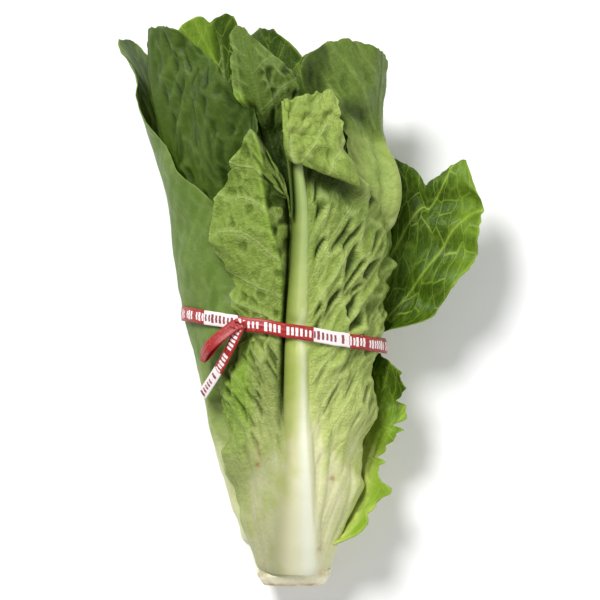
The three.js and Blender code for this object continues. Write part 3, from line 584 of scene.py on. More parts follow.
def leaf_coordinates(leaf):
    """Grids of s and t: rows from base to tip, columns from the clockwise margin to the other."""
    s = np.linspace(leaf.base, leaf.end, leaf.rows)
    if leaf.notch:
        s[np.argmin(np.abs(s - leaf.notch["to"]))] = leaf.notch["to"]
    on_rib, *on_blade = leaf.columns
    grown = ease(s - leaf.base - 8, 20)
    sides = []
    for sign, steps in zip((-1, 1), on_blade):
        teeth = noise(s / 4.6, 0 * s + 3 * sign, leaf.seed)
        teeth = teeth + 0.8 * noise(s / 2.3, 0 * s - sign, leaf.seed + 5) - 0.6
        reach = wide(leaf, s, float(sign)) + leaf.teeth(s) * grown * teeth
        rib = np.minimum(rib_half_width(s - leaf.base) * leaf.rib * 1.1, reach * 0.7)[:, None]
        share = np.linspace(0, 1, on_rib + 1)[1:]
        out = np.linspace(0, 1, steps + 1)[1:] ** 0.9
        sides.append(sign * np.concatenate([rib * share, rib + (reach[:, None] - rib) * out], axis=1))
    t = np.concatenate([sides[0][:, ::-1], 0 * s[:, None], sides[1]], axis=1)
    return s[:, None] + 0 * t, t


def kept_cells(leaf, s, t):
    """Which cells of the leaf's grid are part of it: above its notch, one side is the rib alone."""
    if not leaf.notch:
        return np.ones((s.shape[0] - 1, s.shape[1] - 1), bool)
    on_rib, clockwise, _ = leaf.columns
    column = np.arange(t.shape[1] - 1) - clockwise - on_rib
    out = column if leaf.notch["side"] > 0 else -1 - column
    return (s[:-1, :1] < leaf.notch["to"] - 1e-6) | (out < on_rib)


def quilting(leaf, s, t):
    """Veins and blisters of a leaf: side veins, the net between them, the height of its relief, and the
    painted shade in its pits and hollows.
    """
    along, seed = s - leaf.base, leaf.seed
    away = np.maximum(np.abs(t) - rib_half_width(along) * leaf.rib * 0.8, 0)
    edge = np.abs(t) / wide(leaf, s, t)
    sway = 5 * noise(s / 38, t / 30, seed + 11) + 1.2 * leaf.wander * noise(s / 9, t / 9, seed + 12)
    steep = over_leaf(leaf.steep, t, s) + 1.5 * np.exp(-along / 50)
    side = np.where(t > 0, 0.5, 0)
    order = (s - (steep * away - 0.005 * away**2) + sway) / leaf.spacing + side
    lateral = np.abs(order - np.round(order)) * leaf.spacing * 0.5  # mm to the nearest side vein
    across = order * 2.2 + 31 * side
    outwards = away * 1.15 + 1.5 * leaf.wander * noise(s / 7, t / 7, seed + 13)
    outwards = outwards / (8.5 * over_leaf(leaf.cell, t, s))
    border, own = cells(across, outwards, seed)
    fine_border, fine_own = cells(across * 2.1, outwards * 2.1, seed + 40)
    side_vein = blur(bump(lateral, 0.75) * (1 - 0.45 * edge) * ease(away, 5), 1)
    net = blur(bump(border, 0.075) * ease(away, 7), 1)
    fine_net = bump(fine_border, 0.1) * ease(away, 9)
    inner = ease(border - 0.03, 0.3) * ease(lateral - 0.3, 1.8)
    slit = inner * ease(own - 0.4, 0.45)  # some cells are sunk deep, the others are shallow
    small = ease(fine_border, 0.3) * (0.3 + 0.7 * fine_own) * ease(border, 0.2)
    strength = ease(along - 35, 80) * ease(away, 7) * over_leaf(leaf.strength, t, s)
    strength = strength * (1 - 0.6 * over_leaf(leaf.pale, t, s))
    bend = 0.4 * noise(s / 15, t / 15, seed + 15)
    ridge = 1 - 2.4 * np.abs(noise(across * 0.7 + bend, outwards * 0.3, seed + 14))
    strands = noise(across * 2.2, outwards * 0.12, seed + 16) * ease(along, 30) * ease(away, 5)
    fan = noise(np.sign(t) * edge * 15, s / 45, seed + 17) * ease(130 - along, 60) * ease(away, 3)
    swell = leaf.swell * noise(order * 1.15, outwards * 0.4, seed + 18) * ease(along - 50, 60)
    # The pits are painted darker, as shade: their share of the palette's shade colour.
    painted_shade = np.clip(1.25 * slit + 0.25 * small, 0, 1) * strength * (0.4 + 0.6 * strength)
    sunk = leaf.quilt * (0.8 * slit + 0.2 * inner + 0.2 * small)
    height = blur(leaf.fold * ridge - sunk, 1) * strength + leaf.strand * strands + 1.1 * fan
    return SimpleNamespace(
        # ridge: the pale vein net, which where the blade is crumpled also paints highlights on the blisters'
        # ridges.
        side_vein=side_vein, net=net, fine_net=fine_net, ridge=net * (0.15 + 0.75 * strength**2),
        painted_shade=np.clip(painted_shade + over_leaf(leaf.dark, t, s), 0, 1), height=height + swell * ease(away, 8),
        edge=edge, away=away, along=along, fan=fan, order=order, outwards=outwards,
    )


def thickness(leaf, s, t, veins):
    """Outward and inward half-thickness of the blade, with the rib's bulge and raised veins."""
    along = s - leaf.base
    low = ease(110 - along, 90)  # near the foot the rib is broad and runs out into the blade
    across = np.clip(np.abs(t) / (rib_half_width(along) * leaf.rib * lerp(1.1, 1.35, low)), 0, 1)
    rib = rib_height(along) * leaf.rib * (1 - across**2) ** lerp(0.9, 1.9, low)
    strands = 0.16 * noise(t / rib_half_width(along) * 4.5 + 9, s / 70, leaf.seed + 21)
    ridges = 1.5 * low * (bump(across - 0.62, 0.07) + 0.7 * bump(across - 0.8, 0.06)) * (t < 0)
    rib = np.maximum(rib + (strands * ease(along, 20) + ridges) * (1 - across) ** 0.5 * leaf.rib, 0)
    blade = np.maximum(blade_thickness(along) * leaf.rib, BLADE_THICKNESS) / 2
    blade = blade * lerp(1, MARGIN_TAPER, ease(veins.edge - 0.9, 0.1))
    raised = 0.42 * veins.side_vein + 0.16 * veins.net + 0.05 * veins.fine_net
    raised = raised * ease(along, 60) * (1 - across) ** 0.3
    return blade + rib + raised, blade + rib * RIB_INSIDE + raised * 0.1


def middle_surface(leaf, s, t, depth, veins, room):
    """The blade's middle surface, held inside the room that the outer leaves left."""
    outside, inside = depth
    along, edge = veins.along, veins.edge
    y = s
    outwards = turned = 0 * s
    if leaf.tip:
        start = leaf.tip["start"]
        q = (s - start) / (leaf.end - start)
        step_y, step_out = path_steps(leaf.tip["path"], q)
        skew = leaf.tip.get("skew", 0) * t * ease(step_out, 8) * bump(step_out - 9, 5)
        share = np.where(s > start, ease(leaf.tip.get("up_to", 99) + 4 - t, 8), 0)
        y = lerp(s, start + step_y + skew, share)
        outwards = step_out * share
        turned = leaf.tip.get("turn", 0) * ease(q, 0.45) * share
    if leaf.crown:
        y = y + curve(leaf.crown)(t) * ease(s - leaf.end + CROWN_LENGTH, CROWN_LENGTH)
    teeth = noise(t / 3.4, 0 * t, leaf.seed + 31) + 0.6 * noise(t / 1.7, 0 * t, leaf.seed + 32)
    teeth = leaf.teeth(s) * teeth
    y = y + 0.8 * teeth * ease(s - leaf.end + 12, 12)
    if leaf.notch:
        start, to = leaf.notch["start"], leaf.notch["to"]
        drop = curve(leaf.notch["drop"])(np.abs(t)) * ease(s - start, to - start)
        y = np.where(t * leaf.notch["side"] > 0, y - drop + teeth * ease(s - to + 12, 12), y)
    if not leaf.layer:
        y = y - FOOT_SINK * (1 + 0.6 * noise(t / 5, 0 * t, leaf.seed + 33)) * ease(5 - along, 5)
    inset = leaf.layer * half_width(y) / half_width(TIE_Y) + rib_height(along) * leaf.rib
    mean = (half_width(y) + half_depth(y)) / 2 - inset
    angle = (leaf.angle + leaf.lean * along + turned) * DEG
    angle = angle + np.clip(t / np.maximum(mean, 6), -FURTHEST_ROUND, FURTHEST_ROUND)

    stem = stem_radius(y) + STEM_GAP + inside
    laid = body_radius(angle, y) - inset
    swell = SWELL_LENGTH if leaf.layer else OUTER_SWELL_LENGTH
    plain = lerp(np.minimum(stem, laid), laid, ease(along, swell))
    height, wave, phase = leaf.ruffle
    grown = ease(along, 70)
    ruffle = height * grown * edge**2 * np.sin(2 * np.pi * s / wave + phase * 4 + 0.04 * t)
    frill = 0.9 * leaf.frill * grown * ease(edge - 0.72, 0.28) * noise(s / 6.5, t / 40, leaf.seed + 51)
    plain = plain + ruffle + grown * 0.8 * np.sin(0.11 * t + 0.07 * s + phase) + outwards
    if leaf.relief:
        plain = plain + leaf.relief(t, s)
    billow = leaf.billow * grown * ease(veins.away, 18) * noise(s / 24, t / 19, leaf.seed + 52)
    fine = veins.height + billow + frill

    over = plain + fine - (room.radius(angle, y) - CLEARANCE - outside)
    pressed = np.where(outwards < STANDS_OUT, np.maximum(over, 0), 0)
    pressed = np.maximum(blur(widest(pressed, 2), 4), pressed)
    points = head_point(angle, y, np.maximum(plain + fine - pressed, stem))
    if leaf.wing:
        root_radius = np.maximum(plain - pressed, stem)
        points = open_wing(leaf, points, s, t, y, angle, root_radius, mean, fine, ruffle)
    return points


def open_wing(leaf, points, s, t, y, angle, root_radius, mean, fine, ruffle):
    """Turns the side past wing['start'] away from the body, so that it lies open."""
    side, start = leaf.wing["side"], leaf.wing["start"]
    flare = np.where(side * t > start, curve(leaf.wing["flare"])(s), 0)
    root_angle, root_r = (
        np.array([np.interp(side * start, *row) for row in zip(t, grid)])[:, None]
        for grid in (angle, root_radius)
    )
    x = axis_x(y) + root_r * np.cos(root_angle)
    z = axis_z(y) + root_r * np.sin(root_angle)
    length = np.maximum(side * t - start, 0)
    heading = root_angle + side * np.pi / 2 + 0 * t
    for d in np.arange(0, length.max(), WING_STEP):
        step = np.clip(length - d, 0, WING_STEP)
        wrap = (1 - flare) * d / mean
        turn = side * (np.pi / 2 + wrap - flare * leaf.wing["turn"] * DEG * ease(d, 22))
        heading = np.where(step > 0, root_angle + turn, heading)
        x = x + step * np.cos(heading)
        z = z + step * np.sin(heading)
    push = fine - 1.2 * ruffle * ease(length, 10)
    opened = stack(x + side * push * np.sin(heading), y, z - side * push * np.cos(heading))
    return lerp(points, opened, ease(flare, 0.05)[..., None])


def grid_normals(points):
    return unit(blur(np.cross(np.gradient(points, axis=0), np.gradient(points, axis=1)), 1))


def grid_corners(rows, columns):
    """The numbers of a grid's points, and the four that stand round each of its cells."""
    index = np.arange(rows * columns).reshape(rows, columns)
    return index, (index[:-1, :-1], index[1:, :-1], index[1:, 1:], index[:-1, 1:])


def shell_faces(kept):
    """Quads of a closed shell over the kept cells of two grids of points, outer then inner."""
    index, corners = grid_corners(kept.shape[0] + 1, kept.shape[1] + 1)
    framed = np.pad(kept, 1)
    faces = [stack(*corners)[kept]]
    faces.append(faces[0][:, ::-1] + index.size)
    beside = [framed[1:-1, :-2], framed[2:, 1:-1], framed[1:-1, 2:], framed[:-2, 1:-1]]
    for start, end, neighbour in zip(corners, corners[1:] + corners[:1], beside):
        here = kept & ~neighbour
        first, last = start[here], end[here]
        faces.append(stack(last, first, first + index.size, last + index.size))
    return np.concatenate(faces)


def build_mesh(name, points, faces, attributes, material):
    """A smooth mesh object from layout points in millimetres, with number attributes on its points."""
    mesh = bpy.data.meshes.new(name)
    mesh.vertices.add(len(points))
    mesh.vertices.foreach_set("co", ((points + SHIFT) * MM).astype(np.float32).ravel())
    mesh.loops.add(faces.size)
    mesh.loops.foreach_set("vertex_index", faces.astype(np.int32).ravel())
    mesh.polygons.add(len(faces))
    mesh.polygons.foreach_set("loop_start", np.arange(0, faces.size, 4, dtype=np.int32))
    mesh.polygons.foreach_set("use_smooth", np.ones(len(faces), bool))
    for key, values in attributes.items():
        kind, field = ("FLOAT_VECTOR", "vector") if values.ndim == 2 else ("FLOAT", "value")
        layer = mesh.attributes.new(key, kind, "POINT")
        layer.data.foreach_set(field, values.astype(np.float32).ravel())
    mesh.update(calc_edges=True)
    mesh.validate()
    mesh.materials.append(material)
    piece = bpy.data.objects.new(name, mesh)
    bpy.context.scene.collection.objects.link(piece)
    return piece


def lay_leaf(leaf, room):
    """Builds a leaf, takes its room and puts it in its node's place."""
    s, t = leaf_coordinates(leaf)
    veins = quilting(leaf, s, t)
    depth = thickness(leaf, s, t, veins)
    middle = middle_surface(leaf, s, t, depth, veins, room)
    normal = grid_normals(middle)
    outer, inner = (middle + sign * normal * part[..., None] for sign, part in zip((1, -1), depth))
    kept = kept_cells(leaf, s, t)
    room.fill(inner[:-1, :-1][kept])
    floor = np.minimum(outer[..., 2], inner[..., 2]) < FLOOR_GAP + BLADE_THICKNESS
    for face, least in ((outer, FLOOR_GAP), (inner, FLOOR_GAP + BLADE_THICKNESS)):
        face[..., 2] = np.where(floor, np.maximum(face[..., 2], least), face[..., 2])

    along, away = veins.along, veins.away
    pale = over_leaf(leaf.pale, t, s)
    rib_half = rib_half_width(along) * leaf.rib
    flush = np.where(t < 0, *leaf.flush) * np.maximum(away - 14, 0)
    green = ease(along - 22 + 0.5 * away + flush, 205)
    shared = dict(
        rib=ease(1.45 - np.abs(t) / rib_half, 0.95) * ease(leaf.end - s, leaf.rib_end) * leaf.rib_shows,
        # flank: the rib's darker, yellower anticlockwise flank; its dip below zero marks a painted highlight
        # along the clockwise side.
        flank_and_highlight=ease(t + 2, 0.8 * rib_half + 2) - bump(t / rib_half + 0.55, 0.4),
        green=np.maximum(green - 0.6 * pale, np.minimum(green, 0.2)) + 0.09 * veins.fan,
        # The vein share is the pale veins, with highlights painted on crumpled ridges.
        vein=np.clip(0.8 * veins.side_vein + veins.ridge + 0.15 * veins.fine_net, 0, 1),
        painted_shade=veins.painted_shade,
        margin=ease(1 - (1 - veins.edge) * wide(leaf, s, t) / 2.5),
        fresh=over_leaf(leaf.fresh, t, s),
        spot=sum((bump(np.hypot(s - a, t - b), r) for a, b, r in leaf.spots), 0 * s),
        leaf_uv=stack(t, s, 0 * s) * MM,
        weave=stack(veins.order, veins.outwards, leaf.spacing),
    )
    faces = shell_faces(kept)
    used = np.unique(faces)
    points = np.concatenate([outer.reshape(-1, 3), inner.reshape(-1, 3)])[used]
    faces = np.searchsorted(used, faces)
    attributes = {key: one.reshape(s.size, *one.shape[2:])[used % s.size] for key, one in shared.items()}
    attributes["inside"] = used // s.size
    piece = build_mesh(leaf.name + "_blade", points, faces, attributes, LEAF_MATERIALS[leaf.palette])
    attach(piece, "root")
    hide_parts(leaf.name)


# ---- materials


def linear(screen):
    """A colour given as the six hexadecimal digits it has on a screen."""
    parts = [int(screen[k : k + 2], 16) / 255 for k in (0, 2, 4)]
    return tuple(c / 12.92 if c <= 0.04045 else ((c + 0.055) / 1.055) ** 2.4 for c in parts) + (1.0,)


class Nodes:
    """A short way to write a material's node tree. Colours are given as for linear()."""

    def __init__(self, name):
        self.material = bpy.data.materials.new(name)
        self.material.use_nodes = True
        self.tree = self.material.node_tree
        self.tree.nodes.clear()
        self.shader = self.add("BsdfPrincipled")
        self.fill(self.add("OutputMaterial"), {"Surface": self.shader.outputs["BSDF"]})

    def add(self, kind, **settings):
        node = self.tree.nodes.new("ShaderNode" + kind)
        for key, value in settings.items():
            setattr(node, key, value)
        return node

    def fill(self, node, inputs):
        """Links or sets a node's inputs, which are given by name or number."""
        for key, value in inputs.items():
            if isinstance(value, bpy.types.NodeSocket):
                self.tree.links.new(value, node.inputs[key])
            else:
                node.inputs[key].default_value = linear(value) if isinstance(value, str) else value

    def make(self, kind, inputs, output=0, **settings):
        """Adds a node with these inputs, and gives one of its outputs."""
        node = self.add(kind, **settings)
        self.fill(node, inputs)
        return node.outputs[output]

    def attribute(self, name, output="Fac"):
        return self.make("Attribute", {}, output, attribute_name=name, attribute_type="GEOMETRY")

    def math(self, operation, *values, clamp=False):
        return self.make("Math", dict(enumerate(values)), operation=operation, use_clamp=clamp)

    def plus(self, first, second, clamp=False):
        return self.math("ADD", first, second, clamp=clamp)

    def minus(self, first, second, clamp=False):
        return self.math("SUBTRACT", first, second, clamp=clamp)

    def times(self, first, second):
        return self.math("MULTIPLY", first, second)

    def mix(self, share, first, second, blend="MIX"):
        inputs = {0: share, 6: first, 7: second}  # the numbers of a colour mix's sockets
        return self.make("Mix", inputs, 2, data_type="RGBA", blend_type=blend, clamp_factor=True)

    def ramp(self, share, colours, *between):
        """A colour ramp from 0 to 1: its colours, and the places of those between the two ends."""
        node = self.add("ValToRGB")
        self.fill(node, {"Fac": share})
        elements = node.color_ramp.elements
        for place in between:
            elements.new(place)
        for element, colour in zip(elements, colours.split()):
            element.color = linear(colour)
        return node.outputs["Color"]

    def noise(self, place, scale, detail=2.0, roughness=0.5):
        inputs = {"Vector": place, "Scale": scale, "Detail": detail, "Roughness": roughness}
        return self.make("TexNoise", inputs)

    def voronoi(self, place, scale):
        """Distance to the border of the nearest cell, in cells."""
        settings = dict(feature="DISTANCE_TO_EDGE", voronoi_dimensions="2D")
        return self.make("TexVoronoi", {"Vector": place, "Scale": scale}, "Distance", **settings)

    def map_range(self, value, low, high, to_low=0.0, to_high=1.0):
        inputs = {"Value": value, "From Min": low, "From Max": high, "To Min": to_low, "To Max": to_high}
        return self.make("MapRange", inputs)

    def bump(self, height, strength, distance):
        return self.make("Bump", {"Height": height, "Strength": strength, "Distance": distance}, "Normal")


# Each side's colours run from the cream base to the green of the tip, with the places of the middle two.
# Each palette's darkest colour is the painted shade of its pits and hollows.
PALETTES = {
    "outer": dict(
        outer=("d8d8a8 c0ca7e 9eb058 7c923e", 0.2, 0.55), inner=("d8dc92 90ac3c 628224 4c6818", 0.3, 0.65),
        outer_vein="baca7c", inner_vein="aac254", painted_shade="283a08",
        net=0.12, wander=0.3, crinkle=1.0,
    ),
    "bright": dict(
        outer=("d4d89e bac86c 8aa246 688030", 0.2, 0.55), inner=("c8d074 829c2e 527014 38520a", 0.25, 0.6),
        outer_vein="a0b660", inner_vein="acc84c", painted_shade="283e08",
        net=0.6, wander=0.1, crinkle=0.4,
    ),
    "smooth": dict(
        outer=("ccd098 a0b066 6e863c 5e7632", 0.2, 0.55), inner=("d6da92 8ca83c 587420 3e5814", 0.3, 0.65),
        outer_vein="7c944c", inner_vein="98b24c", painted_shade="58722c",
        net=0.2, wander=0.2, crinkle=0.25,
    ),
    "dull": dict(
        outer=("d4d69c b4c670 7c9440 5e752a", 0.2, 0.55), inner=("d4d888 88a436 5a7820 446014", 0.3, 0.65),
        outer_vein="94aa5e", inner_vein="96b24c", painted_shade="223208",
        net=0.6, wander=0.2, crinkle=0.7,
    ),
    "deep": dict(
        outer=("ced492 849a44 506822 42581a", 0.2, 0.55), inner=("ced682 7e9c2e 506e16 3c580c", 0.3, 0.65),
        outer_vein="627a34", inner_vein="82a03e", painted_shade="2c400c",
        net=0.15, wander=0.2, crinkle=0.3,
    ),
    "heart": dict(
        outer=("e8e6b0 d6da84 bac85c 8ca838", 0.2, 0.55), inner=("e8e8a2 c6d268 9ab43e 668622", 0.3, 0.65),
        outer_vein="d6de92", inner_vein="c6d274", painted_shade="708c2a",
        net=0.4, wander=0.2, crinkle=0.5,
    ),
}
RIB_STOPS = "d8d6b2 c6c894 b8c27a a0b26e", 0.15, 0.45
FLANK_STOPS = "c0be94 b0b470 92a042 62742e", 0.15, 0.45
# A brighter, yellower green: the leaf's own tone in places, painted light in others.
FRESH_AND_LIT_GREEN = "84ac2c", "a4c846"
FINE_SHADE = "3c5418"
# Painted highlight, white, along the clockwise side of a rib near its foot.
RIB_HIGHLIGHT = "f0f2de"  # along the clockwise side of a rib
RUST = "96602c"


def vein_lines(n, sway, wander):
    """Thin lines along the side veins and a net between them, on the leaf's own vein coordinates."""
    split = n.add("SeparateXYZ")
    n.fill(split, {0: n.attribute("weave", "Vector")})
    order, outwards, spacing = split.outputs
    off = n.math("ABSOLUTE", n.minus(n.math("FRACT", n.plus(order, 0.5)), 0.5))
    side = n.map_range(n.times(off, spacing), 0.2, 0.8, 1, 0)
    bend = n.map_range(sway, 0.2, 0.8, -wander, wander)
    place = n.make("CombineXYZ", {0: n.plus(n.times(order, 2.2), bend), 1: n.minus(outwards, bend)})
    net = n.map_range(n.voronoi(place, 1.0), 0.01, 0.04, 0.75, 0)
    fine = n.map_range(n.voronoi(place, 2.6), 0.02, 0.08, 0.2, 0)
    return n.math("MAXIMUM", side, n.math("MAXIMUM", net, fine))


def leaf_material(name, colours):
    """A lettuce blade: cream to green, paler raised veins, painted shade in its pits and hollows, painted
    highlights on the rib and crumpled ridges, a fine net under a soft gloss.
    """
    n = Nodes(name)
    place = n.attribute("leaf_uv", "Vector")
    broad = n.noise(place, 28, 2, 0.5)
    mottle = n.noise(place, 110, 3, 0.6)
    fine = n.noise(place, 520, 2, 0.6)
    shift = n.plus(n.map_range(broad, 0.3, 0.7, -0.1, 0.1), n.map_range(mottle, 0.3, 0.7, -0.06, 0.06))
    green = n.plus(n.attribute("green"), shift, clamp=True)
    inside = n.attribute("inside")
    body = n.mix(inside, n.ramp(green, *colours["outer"]), n.ramp(green, *colours["inner"]))
    # The fresh green, which on some leaves is painted light.
    body = n.mix(n.attribute("fresh"), body, n.mix(mottle, *FRESH_AND_LIT_GREEN))

    vein_colour = n.mix(inside, colours["outer_vein"], colours["inner_vein"])
    vein = n.times(n.attribute("vein"), n.map_range(green, 0.1, 0.5))
    body = n.mix(n.map_range(vein, 0.05, 0.85, 0, 0.55), body, vein_colour)
    lines = vein_lines(n, mottle, colours["wander"])
    shown = n.times(n.map_range(broad, 0.35, 0.6, 0.35, 1), n.map_range(green, 0.1, 0.5))
    shown = n.times(shown, n.map_range(inside, 0, 1, 0.45 * colours["net"], colours["net"]))
    body = n.mix(n.times(lines, shown), body, vein_colour)
    body = n.mix(n.map_range(fine, 0.35, 0.7, 0, 0.14), body, FINE_SHADE, "MULTIPLY")

    flank_and_highlight = n.attribute("flank_and_highlight")
    rib = n.mix(flank_and_highlight, n.ramp(green, *RIB_STOPS), n.ramp(green, *FLANK_STOPS))
    # A painted highlight: white along the rib's clockwise side, fading toward the tip.
    lit = n.times(n.map_range(flank_and_highlight, 0, -1, 0, 0.9), n.map_range(green, 0.1, 0.7, 1, 0))
    rib = n.mix(lit, rib, RIB_HIGHLIGHT)
    body = n.mix(n.times(n.attribute("rib"), n.map_range(inside, 0, 1, 0.95, 0.8)), body, rib)
    # Painted shade: pits and hollows are darkened toward the palette's shade colour.
    body = n.mix(n.times(n.attribute("painted_shade"), 0.9), body, colours["painted_shade"])
    body = n.mix(n.times(n.attribute("margin"), 0.25), body, vein_colour)
    body = n.mix(n.times(n.attribute("spot"), n.map_range(mottle, 0.4, 0.6, 0.1, 0.8)), body, RUST)

    blade = n.minus(n.map_range(green, 0.08, 0.35), n.attribute("rib"), clamp=True)
    crinkle = n.map_range(n.voronoi(place, 480), 0.02, 0.2, 0, 0.5)
    wrinkle = n.map_range(n.noise(place, 260, 3, 0.6), 0.35, 0.65, 0, 1.6)
    relief = n.times(n.plus(n.plus(crinkle, wrinkle), n.plus(mottle, lines)), blade)
    n.fill(n.shader, {
        "Base Color": body, "Roughness": n.map_range(mottle, 0.3, 0.7, 0.42, 0.56),
        "Specular IOR Level": 0.16, "Subsurface Weight": 0.1, "Subsurface Radius": (0.9, 1.0, 0.35),
        "Subsurface Scale": 0.0012, "Normal": n.bump(relief, 0.62 * colours["crinkle"], 0.0005),
    })
    return n.material


LEAF_MATERIALS = {key: leaf_material(f"lettuce_{key}", colours) for key, colours in PALETTES.items()}


def stem_material():
    """Cut stem: cream flesh with a faint ring of strands and a browned, dried edge."""
    n = Nodes("lettuce_stem")
    place = n.add("TexCoord").outputs["Object"]
    mottle, strands = n.noise(place, 140, 4, 0.6), n.noise(place, 700, 2, 0.5)
    flesh = n.mix(n.map_range(mottle, 0.35, 0.65), "f0ecd2", "e2ddb8")
    flesh = n.mix(n.times(n.attribute("green"), 0.7), flesh, "ccd092")
    dried = n.times(n.attribute("dried"), n.map_range(mottle, 0.38, 0.62, 0.15, 1))
    body = n.mix(dried, flesh, n.mix(mottle, "a8783e", "be965c"))
    ring = n.times(n.attribute("ring"), n.map_range(strands, 0.45, 0.6))
    n.fill(n.shader, {
        "Base Color": n.mix(n.times(ring, 0.5), body, "b0a060"), "Roughness": 0.58,
        "Subsurface Weight": 0.25, "Subsurface Radius": (1.0, 0.8, 0.4), "Subsurface Scale": 0.002,
        "Normal": n.bump(n.plus(mottle, strands), 0.5, 0.0006),
    })
    return n.material


def tie_material():
    """A paper tie printed red, with white blocks and rows of plain bars, creased and slightly worn."""
    n = Nodes("twist_tie_print")
    run, printed = n.attribute("run"), n.attribute("printed")
    wear = n.noise(n.add("TexCoord").outputs["Object"], 900, 3, 0.6)
    place = n.math("FRACT", n.math("DIVIDE", n.minus(run, WHITE_START), PRINT_PERIOD))
    block = n.times(n.math("LESS_THAN", place, WHITE_SHARE), printed)
    pitch = n.math("DIVIDE", run, BAR_PITCH)
    random = n.make("TexWhiteNoise", {"W": n.math("FLOOR", pitch)}, "Value", noise_dimensions="1D")
    height = n.map_range(random, 0, 1, 0.42, 0.66)
    long = n.math("LESS_THAN", n.math("FRACT", pitch), n.map_range(random, 0, 1, 0.42, 0.74))
    bar = n.times(long, n.math("LESS_THAN", n.math("ABSOLUTE", n.attribute("across")), height))
    bar = n.times(n.times(bar, n.math("GREATER_THAN", random, 0.14)), printed)
    body = n.mix(block, "981616", "e8dedc")
    body = n.mix(bar, body, n.mix(block, "ece2e2", "803c46"))
    n.fill(n.shader, {
        "Base Color": n.mix(n.map_range(wear, 0.55, 0.75, 0, 0.3), body, "d0b0ac"),
        "Roughness": 0.42, "Specular IOR Level": 0.5, "Normal": n.bump(wear, 0.25, 0.0003),
    })
    return n.material


# ---- stem

CUT_RADIUS = 16.4  # of the cut face
STEM_RADIUS = 21.8  # just below the leaves
STEM_SIDES = 130
STEM_STEP = 0.7  # between its rings


def build_stem():
    """The short cut stump and the core that tapers up between the leaves' feet."""
    foot = LEAF_BASE_Y - STEM_GAP
    profile = np.array(
        [
            [0, BUTT_Y], [CUT_RADIUS, BUTT_Y], [CUT_RADIUS + 1.0, BUTT_Y + 0.4],
            [CUT_RADIUS + 1.7, BUTT_Y + 1.2], [STEM_RADIUS - 0.9, LEAF_BASE_Y - 5],
            [STEM_RADIUS - 0.5, LEAF_BASE_Y - 2.2], [STEM_RADIUS - 0.6, LEAF_BASE_Y - 0.8],
            [STEM_RADIUS - 1.0, foot], [stem_radius(LEAF_BASE_Y), foot],
            *[[stem_radius(y), y] for y in (-106, -98, -90, -80, -70)],
            [0, -65],
        ],
        float,
    )
    run = run_along(profile)
    at = np.unique(np.concatenate([np.arange(0, run[-1], STEM_STEP), run]))
    r, y = (np.interp(at, run, profile[:, k])[:, None] for k in (0, 1))
    r, y, angle = np.broadcast_arrays(r, y, np.linspace(0, 2 * np.pi, STEM_SIDES + 1))
    around = angle * CUT_RADIUS
    rough = 0.5 * noise(around / 5.5, y / 3, 71) + 0.25 * noise(around / 1.8, y / 1.5, 72)
    torn = ease(y - LEAF_BASE_Y + 5, 4) * ease(r - STEM_RADIUS + 3, 2)
    y = y - 1.8 * torn * ease(noise(around / 4, 0 * y, 76) - 0.05, 0.5)
    chips = ease(noise(around / 6, y / 9, 74) - 0.05, 0.35) * ease(y - BUTT_Y - 3, 4)
    lifted = r - ease(r - 6, 8) * (np.abs(rough) + 2.4 * chips)
    cut = ease(BUTT_Y + 1.0 - y, 1.0)
    points = head_point(angle, y, np.maximum(lifted, 0))
    points[..., 1] += cut * (0.5 * bump(r, 7) + 0.25 * np.abs(noise(r / 2.0, around / 9, 73)))
    points[:, -1] = points[:, 0]
    index, (a, b, c, d) = grid_corners(*r.shape)
    index[:, -1] = index[:, 0]  # and so in the corners, which are views of it
    corner = bump(angle - 0.6, 0.25) + 0.6 * bump(angle - 2.6, 0.2)
    attributes = dict(
        dried=bump(r - CUT_RADIUS - 1, 1.3) * bump(y - BUTT_Y - 0.5, 1.4)
        + 0.8 * corner * ease(y - BUTT_Y - 4, 3),
        green=np.clip(ease(y - BUTT_Y - 3, 8) * (0.6 + 0.6 * noise(around / 9, y / 9, 75)), 0, 1),
        ring=cut * bump(r - 11, 2),
    )
    attributes = {key: grid.ravel() for key, grid in attributes.items()}
    faces = stack(a, d, c, b).reshape(-1, 4)
    piece = build_mesh("cut_stem", points.reshape(-1, 3), faces, attributes, stem_material())
    clean(piece)
    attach(piece, "root")
    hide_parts("stem")


def clean(piece):
    """Merges coincident points, such as a lathe's seam and poles, and drops faces with no area."""
    work = bmesh.new()
    work.from_mesh(piece.data)
    bmesh.ops.remove_doubles(work, verts=work.verts, dist=1e-6)
    bmesh.ops.dissolve_degenerate(work, edges=work.edges, dist=1e-6)
    bmesh.ops.delete(work, geom=[v for v in work.verts if not v.link_faces], context="VERTS")
    bmesh.ops.recalc_face_normals(work, faces=work.faces)
    work.to_mesh(piece.data)
    work.free()


# ---- twist tie

TIE_PROFILE_ACROSS = np.array([-1, -0.8, -0.5, -0.25, -0.14, 0, 0.14, 0.25, 0.5, 0.8, 1])
PAPER = 0.36  # thickness of the tie's paper
WIRE = 0.5  # height of the wire under its middle
# The tie's ends: stations of [angle in degrees, height, lift off the body, roll in degrees].
TWIST = [[117, 21, 0, 0], [120, 20.5, 2, 90], [123, 19.5, 3.2, 200], [126, 18, 3.6, 360]]
LONG_END = [[120, 20.5, 2.2, 0], [126, 9, 4.4, 6], [137, -5, 5, 0], [153, -19, 5.5, -14]]
FOLDED_END = [
    [120, 21, 2.6, 0], [130, 14, 6.4, 0], [141, 4, 7, 0], [143, 2.4, 8.6, 0], [135, 9, 10.6, 0],
    [122, 20.5, 3.4, 0],
]
TWIST_WIDTH, END_WIDTH = 5.0, TIE_WIDTH * 0.85
BAND_STEPS = 480
LONG_END_RED = 0.6  # share of the long end before its white block


